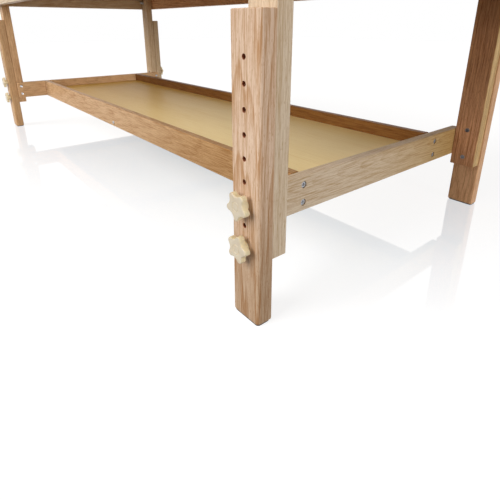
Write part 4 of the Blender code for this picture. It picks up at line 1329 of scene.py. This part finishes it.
class TrayOperator(Operator):
    """Build the shelf tray's rails, panel and batten"""

    bl_idname = "massage_table.tray"
    bl_label = "Shelf Tray"

    def execute(self, context):
        wood = context.scene.massage_table.wood
        for end in ("left", "right"):
            rail_board("tray_end_rail_" + end, self.end_cuts(end, wood))
        for side in ("front", "rear"):
            rail_board("tray_long_rail_" + side, self.groove(wood))
        rail_board("tray_batten")
        self.panel(wood)
        return {"FINISHED"}

    def groove(self, wood):
        """The panel's own shape with a little room, to cut its groove in a rail."""
        low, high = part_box("tray_panel")
        room = Vector((1, 1, 1)) * wood.groove_room
        return box_bmesh(low - room, high + room)

    def end_cuts(self, end, wood):
        """The panel's groove and the recesses of the corner bolts."""
        cutters = self.groove(wood)
        sign = 1 if end == "right" else -1
        face = side_of("tray_end_rail_" + end, ALONG, sign)
        for leg, level in SCREW_SPOTS:
            if leg.endswith(end):
                centre = box_centre("corner_bolt_" + leg + "_" + level)
                mouth = pointing(Vector((face, centre.y, centre.z)), X_AXIS * sign)
                drill(cutters, mouth, wood.bolt_sink_radius, wood.bolt_sink_depth, wood.hole_easing)
        return cutters

    def panel(self, wood):
        """The veneered shelf panel: fine straight lines, more gloss than the rails."""
        node = "tray_panel"
        veneer = wood_material("panel_veneer", node, PANEL_COAT, VENEER_FIGURE)
        bm = sawn_board(*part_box(node), SAWINGS[node].grain, wood.panel_edge, wood.panel_edge)
        panel = new_piece(node + "_board", bm, veneer)
        even_normals(panel)
        place(panel, "frame", "panel_wood", node)


class TrayFastenersOperator(Operator):
    """Build the tray's corner bolts, rail screws and batten screws"""

    bl_idname = "massage_table.tray_fasteners"
    bl_label = "Tray Fasteners"

    # A batten screw's shank and socket in radii of its head, its rounding and the socket's depth in
    # thicknesses of the head, and the length of its shank
    SHANK_SHARE = 0.45
    SOCKET_SHARE = 0.42
    ROUND_SHARE = 0.5
    SHANK_LENGTH = 0.02

    def execute(self, context):
        hardware = context.scene.massage_table.hardware
        steel = kept_material("zinc_plate", zinc_material)
        self.corner_bolts(steel)
        self.rail_screws(hardware, steel)
        self.batten_screws(steel)
        return {"FINISHED"}

    def corner_bolts(self, steel):
        """Socket-head bolts sunk in the end rails."""
        head = CORNER_BOLT_HEAD
        span = box_span("corner_bolt_front_right_lower")
        shank = turned(((CORNER_BOLT_SHANK, head.thick - span.x), (CORNER_BOLT_SHANK, 0.0)))
        bolts = LikePieces(skin(shank + socket_head(span.z / 2, head)), steel, "zinc")
        for leg, level in SCREW_SPOTS:
            node = "corner_bolt_" + leg + "_" + level
            right = side_signs(leg)[0]
            centre = box_centre(node)
            seat = Vector((side_of(node, ALONG, right) - right * head.thick, centre.y, centre.z))
            bolts.add(node + "_socket", pointing(seat, X_AXIS * right), "frame", node)

    def rail_screws(self, hardware, steel):
        """Pan-head screws through the end rails into the upper legs."""
        shape = skin(socket_head(hardware.rail_screw_head, RAIL_SCREW_HEAD))
        screws = LikePieces(shape, steel, "zinc")
        for leg in LEGS:
            right = side_signs(leg)[0]
            rail = "tray_end_rail_" + ("right" if right > 0 else "left")
            low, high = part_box(rail)
            face = side_of(rail, ALONG, -right)
            middle = box_centre("upper_leg_" + leg).y
            heights = (low.z + hardware.rail_screw_inset, high.z - hardware.rail_screw_inset)
            for level, height in zip(LEVELS, heights):
                seat = pointing(Vector((face, middle, height)), X_AXIS * -right)
                screws.add("rail_screw_" + leg + "_" + level, seat, "frame")

    def batten_screws(self, steel):
        """Socket heads on the long rails, holding the batten's ends."""
        for side, sign in (("front", -1), ("rear", 1)):
            node = "batten_screw_" + side
            face = side_of("tray_long_rail_" + side, ACROSS, sign)
            radius = box_span(node).z / 2
            thick = abs(side_of(node, ACROSS, sign) - face)
            half = thick * self.ROUND_SHARE
            shank = radius * self.SHANK_SHARE
            rings = turned(((shank, -self.SHANK_LENGTH), (shank, 0.0)))
            rings += socket_head(radius, Head(thick, radius * self.SOCKET_SHARE, half, half))
            screw = new_piece(node + "_head", skin(rings), steel)
            centre = box_centre(node)
            screw.matrix_world = pointing(Vector((centre.x, face, centre.z)), Y_AXIS * sign)
            place(screw, "frame", "zinc", node)


class LegBoltsOperator(Operator):
    """Build the bolts that hold the upper legs to the long aprons"""

    bl_idname = "massage_table.leg_bolts"
    bl_label = "Leg Bolts"

    WASHER = 0.0085
    WASHER_DEPTH = 0.0016
    WASHER_EDGE = 0.0004
    NUT_FLAT = 0.0065
    NUT_DEPTH = 0.0062
    NUT_EASING = 0.0007
    # The nut's cut corners and its face in sizes of its flats, and the face's rise
    CORNER_SHARE = 1.08
    FACE_SHARE = 0.93
    FACE_RISE = 0.0001
    MOUTH_ROOM = 0.0005
    MOUTH_DEPTH = 0.0004
    # How many pitches of thread stand out of the nut, and the taper of the bolt's end
    END_PITCHES = 4
    END_TAPER = 0.001

    def execute(self, context):
        hardware = context.scene.massage_table.hardware
        steel = kept_material("zinc_plate", zinc_material)
        heads = LikePieces(skin(socket_head(hardware.leg_bolt_head, LEG_BOLT_HEAD)), steel, "zinc")
        nuts = LikePieces(skin(self.nut(hardware)), steel, "zinc")
        for leg in LEGS:
            right, rear = side_signs(leg)
            board = "upper_leg_" + leg
            apron = "long_apron_" + ("rear" if rear > 0 else "front")
            outside = side_of(apron, ACROSS, rear)
            inside = side_of(board, ACROSS, -rear)
            inset = right * hardware.leg_bolt_inset
            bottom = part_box(apron)[0].z
            spots = (
                ("lower", side_of(board, ALONG, right) - inset, bottom + hardware.leg_bolt_low),
                ("upper", side_of(board, ALONG, -right) + inset, bottom + hardware.leg_bolt_high),
            )
            for level, x, z in spots:
                spot = leg + "_" + level
                head_seat = pointing(Vector((x, outside, z)), Y_AXIS * rear)
                nut_seat = pointing(Vector((x, inside, z)), Y_AXIS * -rear)
                heads.add("leg_bolt_head_" + spot, head_seat, "frame")
                nuts.add("leg_bolt_nut_" + spot, nut_seat, "frame")
        return {"FINISHED"}

    def nut(self, hardware):
        """Rings of a washer, a hexagon nut and the bolt's threaded end, as one stack of steps."""
        bottom, flat = self.WASHER_DEPTH, self.NUT_FLAT
        corner = flat * self.CORNER_SHARE
        top = bottom + self.NUT_DEPTH
        thread, pitch = hardware.leg_bolt_thread, hardware.leg_bolt_pitch
        rings = [
            circle(self.WASHER, 0.0),
            *rounded_rings(self.WASHER, bottom, self.WASHER_EDGE),
            hexagon(flat, bottom, corner),
            hexagon(flat, bottom + self.NUT_EASING),
            hexagon(flat, top - self.NUT_EASING),
            hexagon(flat, top, corner),
            circle(flat * self.FACE_SHARE, top + self.FACE_RISE),
            circle(thread + self.MOUTH_ROOM, top),
            circle(thread, top - self.MOUTH_DEPTH),
        ]
        for i in range(2 * self.END_PITCHES - 1):
            groove = hardware.thread_depth * (i % 2)
            rings.append(circle(thread - groove, top + i * pitch / 2))
        rings.append(circle(thread - self.END_TAPER, top + self.END_PITCHES * pitch))
        return rings


class TopFrameOperator(Operator):
    """Build the aprons and cross rails, and finish the deck"""

    bl_idname = "massage_table.top_frame"
    bl_label = "Top Frame"

    def execute(self, context):
        aprons = ("long_apron_front", "long_apron_rear", "end_apron_left", "end_apron_right")
        for node in (*aprons, "cross_rail_left", "cross_rail_right"):
            rail_board(node)
        plywood = wood_material("deck_plywood", "deck", BARE_COAT, PLYWOOD_FIGURE)
        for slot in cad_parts["deck"].material_slots:
            slot.material = plywood
        return {"FINISHED"}


class PaddedTopOperator(Operator):
    """Build the padded top: foam swollen in a sewn cover, with a piped seam"""

    bl_idname = "massage_table.padded_top"
    bl_label = "Padded Top"

    CORNER_POINTS = 14
    BED_ANGLE = math.radians(60)
    # How stiff and heavy the cover is as it swells, and the part of its lower rounding that is held
    CLOTH = dict(
        quality=4, mass=0.4, tension_stiffness=12.0, compression_stiffness=12.0, shear_stiffness=4.0,
        bending_stiffness=0.6, use_pressure=True,
    )
    GRIP = 0.6
    # The seam's hollow, the length of its steps, and how far off its rays start and aim
    SEAM_HALF_WIDTH = 0.011
    SEAM_DEPTH = 0.0022
    WALK = 0.008
    RAY_REACH = 0.03
    # Sides of the piping, and how far its middle stands out of the cover in its radii
    WELT_SIDES = 12
    WELT_STAND = 0.35
    # Sides of a stitch's thread, its half length in pitches, where its rings lie between its ends, and
    # in radii of the thread how high its middle lies, how far its ends dip from there and their width
    STITCH_SIDES = 6
    STITCH_HALF = 0.36
    STITCH_STEPS = (-1.0, -0.8, -0.35, 0.35, 0.8, 1.0)
    STITCH_LIFT = 0.7
    STITCH_DIP = 1.7
    STITCH_END = 0.5

    def execute(self, context):
        padding = context.scene.massage_table.padding
        low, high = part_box("padded_top")
        pad = self.start_shape(padding, low, high)
        self.swell(context, pad, padding, low)
        self.press_seam(pad, padding, high)
        subdivision = pad.modifiers.new("smooth_cover", "SUBSURF")
        subdivision.levels = 1
        subdivision.render_levels = 1
        cut(pad, self.deck_bed())
        pad.data.set_sharp_from_angle(angle=self.BED_ANGLE)
        place(pad, "frame", "upholstery", "padded_top")
        self.welt(padding, self.seam_path(pad, padding, low, high, 0.0))
        self.stitches(padding, self.seam_path(pad, padding, low, high, padding.stitch_drop))
        return {"FINISHED"}

    def outline(self, padding, low, high, inset, height):
        """A rounded rectangle inside the pad's box."""
        radius = padding.corner - inset
        half_x = (high.x - low.x) / 2 - padding.corner
        half_y = (high.y - low.y) / 2 - padding.corner
        points = []
        for quarter, (x_sign, y_sign) in enumerate(CORNERS):
            for i in range(self.CORNER_POINTS + 1):
                angle = QUARTER_TURN * (quarter + i / self.CORNER_POINTS)
                x = x_sign * half_x + radius * math.cos(angle)
                y = y_sign * half_y + radius * math.sin(angle)
                points.append(Vector((x, y, height)))
        return points

    def start_shape(self, padding, low, high):
        """The pad a little smaller than its box, remeshed for the swelling."""
        top = high.z - padding.shrink - padding.crown
        lower_edge = reversed(quarter_round(padding.bottom_round, EDGE_STEPS))
        upper_edge = quarter_round(padding.top_round, BIG_ROUND_STEPS)
        steps = [(inset, low.z + rise) for inset, rise in lower_edge]
        steps += [(inset, top - drop) for inset, drop in upper_edge]
        rings = []
        for inset, height in steps:
            rings.append(self.outline(padding, low, high, padding.shrink + inset, height))
        cover = kept_material("upholstery_cover", cover_material)
        pad = new_piece("padded_top_cover", skin(rings), cover)
        remesh = pad.modifiers.new("even_mesh", "REMESH")
        remesh.mode = "VOXEL"
        remesh.voxel_size = padding.voxel
        apply_modifiers(pad)
        half = (high - low) / 2
        for vertex in pad.data.vertices:
            if vertex.co.z > low.z + half.z:
                rise = (1 - (vertex.co.x / half.x) ** 2) * (1 - (vertex.co.y / half.y) ** 2)
                vertex.co.z += padding.crown * max(0.0, rise) ** 0.5
        return pad

    def swell(self, context, pad, padding, low):
        """Blows the cover up like foam under it, with the underside held on the deck."""
        held = pad.vertex_groups.new(name="held_on_deck")
        grip = low.z + padding.bottom_round * self.GRIP
        held.add([v.index for v in pad.data.vertices if v.co.z < grip], 1.0, "REPLACE")
        start = [v.co.copy() for v in pad.data.vertices]
        cloth = pad.modifiers.new("swell", "CLOTH")
        for name, value in self.CLOTH.items():
            setattr(cloth.settings, name, value)
        cloth.settings.uniform_pressure_force = padding.pressure
        cloth.settings.vertex_group_mass = held.name
        cloth.settings.effector_weights.gravity = 0.0
        cloth.point_cache.frame_start = 1
        cloth.point_cache.frame_end = padding.swell_frames
        for step in range(1, padding.swell_frames + 1):
            context.scene.frame_set(step)
        apply_modifiers(pad)
        context.scene.frame_set(1)
        for vertex, was in zip(pad.data.vertices, start):
            move = vertex.co - was
            if move.length > padding.swell_cap:
                vertex.co = was + move * (padding.swell_cap / move.length)
            vertex.co.z = max(vertex.co.z, low.z)

    def press_seam(self, pad, padding, high):
        """Draws the cover in along the seam that joins its top to its sides."""
        seam = high.z - padding.seam_drop
        for vertex in pad.data.vertices:
            away = abs(vertex.co.z - seam)
            if away < self.SEAM_HALF_WIDTH:
                share = 0.5 + 0.5 * math.cos(math.pi * away / self.SEAM_HALF_WIDTH)
                vertex.co -= vertex.normal * (self.SEAM_DEPTH * share)

    def deck_bed(self):
        """The deck's own shape, to cut its bed in the padding's underside."""
        low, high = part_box("deck")
        low.z -= OVERCUT
        return box_bmesh(low, high)

    def seam_path(self, pad, padding, low, high, drop):
        """Points on the cover's surface at one height all round, from rays shot inwards."""
        graph = bpy.context.evaluated_depsgraph_get()
        surface = BVHTree.FromObject(pad, graph)
        height = high.z - padding.seam_drop - drop
        outer = self.outline(padding, low, high, -self.RAY_REACH, height)
        inner = self.outline(padding, low, high, self.RAY_REACH, height)
        points = []
        for i, start in enumerate(outer):
            following = outer[(i + 1) % len(outer)]
            target, next_target = inner[i], inner[(i + 1) % len(outer)]
            steps = max(1, round((following - start).length / self.WALK))
            for step in range(steps):
                share = step / steps
                origin = start.lerp(following, share)
                toward = (target.lerp(next_target, share) - origin).normalized()
                hit, normal, _, _ = surface.ray_cast(origin, toward)
                if hit is None:
                    raise RuntimeError("the seam's ray missed the cover")
                points.append((hit, normal))
        return points

    def welt(self, padding, path):
        """The piping in the seam, partly sunk in the cover."""
        rings = []
        for i, (point, normal) in enumerate(path):
            ahead = path[(i + 1) % len(path)][0] - path[i - 1][0]
            side = ahead.cross(normal).normalized()
            middle = point + normal * padding.welt_radius * self.WELT_STAND
            rings.append(tube_ring(middle, normal, side, padding.welt_radius, self.WELT_SIDES))
        piping = kept_material("cover_piping", welt_material)
        welt = new_piece("cover_welt", skin(rings, looped=True), piping)
        place(welt, "frame", "upholstery")

    def stitches(self, padding, path):
        """One row of stitches below the piping."""
        points = [point for point, _ in path]
        normals = [normal for _, normal in path]
        bm = bmesh.new()
        walked, due = 0.0, 0.0
        half = padding.stitch_pitch * self.STITCH_HALF
        for i, point in enumerate(points):
            following = points[(i + 1) % len(points)]
            step = following - point
            while due < walked + step.length:
                share = (due - walked) / step.length
                middle = point.lerp(following, share)
                normal = normals[i].lerp(normals[(i + 1) % len(points)], share).normalized()
                self.stitch(bm, middle, step.normalized(), normal, half, padding.stitch_radius)
                due += padding.stitch_pitch
            walked += step.length
        row = new_piece("cover_stitches", bm, kept_material("cover_thread", thread_material))
        place(row, "frame", "upholstery")

    def stitch(self, bm, middle, along, normal, half, radius):
        """One stitch: a short thread whose ends dip into the cover."""
        side = along.cross(normal).normalized()
        rings = []
        for share in self.STITCH_STEPS:
            lift = radius * (self.STITCH_LIFT - self.STITCH_DIP * share ** 4)
            width = radius * (self.STITCH_END if abs(share) == 1.0 else 1.0)
            centre = middle + along * half * share + normal * lift
            rings.append(tube_ring(centre, normal, side, width, self.STITCH_SIDES))
        add_rings(bm, rings)


class StageOperator(Operator):
    """Set up the floor, the lamps, the sky and the camera"""

    bl_idname = "massage_table.stage"
    bl_label = "Stage"

    # How high in the sky, as a sine, the light from overhead is full
    SKY_HEIGHT = 0.5

    def execute(self, context):
        stage = context.scene.massage_table.stage
        context.scene.view_settings.view_transform = "Standard"
        self.floor(stage)
        self.sky(context, stage)
        self.sun(context, "key_light", stage.key_strength, stage.key_spread, stage.key_from)
        self.sun(context, "fill_light", stage.fill_strength, stage.fill_spread, stage.fill_from)
        self.camera(context, stage)
        return {"FINISHED"}

    def floor(self, stage):
        """A wide pale floor: white in full light, with a soft shadow and a faint mirror image."""
        bm = bmesh.new()
        bmesh.ops.create_grid(bm, x_segments=2, y_segments=2, size=stage.floor_half)
        material, on, shader = new_material("studio_floor")
        spot = on.spot()
        mottle = on.noise(spot, FLOOR_MOTTLE)[0]
        shine = self.mirror_share(on, spot, stage)
        full = stage.floor_mirror
        glow = tuple((1 - full * tint) / (1 - full) for tint in stage.mirror_tint)
        on.fill(
            shader, Base_Color=on.mix(mottle, rgba(stage.floor), tinted(stage.floor, FLOOR_LIFT)),
            Roughness=1.0, Specular_IOR_Level=0.0, Emission_Color=on.mix(shine, WHITE, rgba(glow)),
            Emission_Strength=on.math("MULTIPLY", seen_rays(on), stage.floor_glow),
        )
        mirror = on.add("ShaderNodeBsdfGlossy")
        on.fill(mirror, Color=rgba(stage.mirror_tint), Roughness=stage.floor_polish)
        share = on.math("MULTIPLY", shine, full)
        surface = on.add("ShaderNodeMixShader", share, shader.outputs[0], mirror.outputs[0])
        on.fill(material.node_tree.nodes["Material Output"], Surface=surface.outputs[0])
        floor = new_piece("studio_floor", bm, material)

    def mirror_share(self, on, spot, stage):
        """1 where the floor mirrors most, fading out in front of a line through two opposite feet."""
        first = box_centre("foot_pad_front_left")
        second = box_centre("foot_pad_rear_right")
        across = (second - first).cross(Z_AXIS).normalized()
        from_first = on.vector("SUBTRACT", spot, first)
        ahead = on.add("ShaderNodeVectorMath", from_first, across, operation="DOT_PRODUCT")
        return on.scaled(ahead.outputs["Value"], 0.0, stage.mirror_reach, 1.0, 0.0)

    def sky(self, context, stage):
        """White to the camera and in reflections, a gentle light on the object."""
        world = bpy.data.worlds.new("studio_sky")
        context.scene.world = world
        world.use_nodes = True
        on = Shading(world.node_tree)
        up = on.parts(on.add("ShaderNodeTexCoord").outputs["Generated"])[2]
        light = on.scaled(up, 0.0, self.SKY_HEIGHT, stage.wall_light, stage.sky_light)
        unlit = on.math("MULTIPLY", seen_rays(on), on.math("SUBTRACT", 1.0, light))
        strength = on.math("ADD", light, unlit)
        on.fill(world.node_tree.nodes["Background"], Color=WHITE, Strength=strength)

    def sun(self, context, name, strength, spread, source):
        """A far soft light from a direction."""
        data = bpy.data.lights.new(name, "SUN")
        data.energy = strength
        data.angle = spread
        lamp = bpy.data.objects.new(name, data)
        context.scene.collection.objects.link(lamp)
        lamp.rotation_euler = (-Vector(source)).to_track_quat("-Z", "Y").to_euler()

    def camera(self, context, stage):
        data = bpy.data.cameras.new("photo_camera")
        data.lens = stage.camera_lens
        data.shift_y = stage.camera_rise
        camera = bpy.data.objects.new("photo_camera", data)
        camera.location = stage.camera_place
        camera.rotation_euler = stage.camera_turn
        context.scene.collection.objects.link(camera)
        context.scene.camera = camera


OPERATORS = (
    StageOperator,
    UpperLegsOperator,
    LowerLegsOperator,
    FootPadsOperator,
    StarKnobsOperator,
    KnobStudsOperator,
    InsertNutsOperator,
    TrayOperator,
    TrayFastenersOperator,
    LegBoltsOperator,
    TopFrameOperator,
    PaddedTopOperator,
)


class MassageTablePanel(Panel):
    """Sidebar panel with the table's sizes, colours and building steps"""

    bl_idname = "VIEW3D_PT_massage_table"
    bl_label = "Massage Table"
    bl_space_type = "VIEW_3D"
    bl_region_type = "UI"
    bl_category = "Massage Table"

    def draw(self, context):
        table = context.scene.massage_table
        for title, group in (
            ("Wood", table.wood),
            ("Hardware", table.hardware),
            ("Padding", table.padding),
            ("Stage", table.stage),
        ):
            box = self.layout.box()
            box.label(text=title)
            for name in group.__annotations__:
                box.prop(group, name)
        for operator in OPERATORS:
            self.layout.operator(operator.bl_idname)


CLASSES = (WoodProps, HardwareProps, PaddingProps, StageProps, TableProps, *OPERATORS, MassageTablePanel)


def register():
    for entry in CLASSES:
        bpy.utils.register_class(entry)
    bpy.types.Scene.massage_table = PointerProperty(type=TableProps)


def unregister():
    del bpy.types.Scene.massage_table
    for entry in reversed(CLASSES):
        bpy.utils.unregister_class(entry)


def main():
    register()
    for operator in OPERATORS:
        group, name = operator.bl_idname.split(".")
        getattr(getattr(bpy.ops, group), name)()


if __name__ == "__main__":
    main()
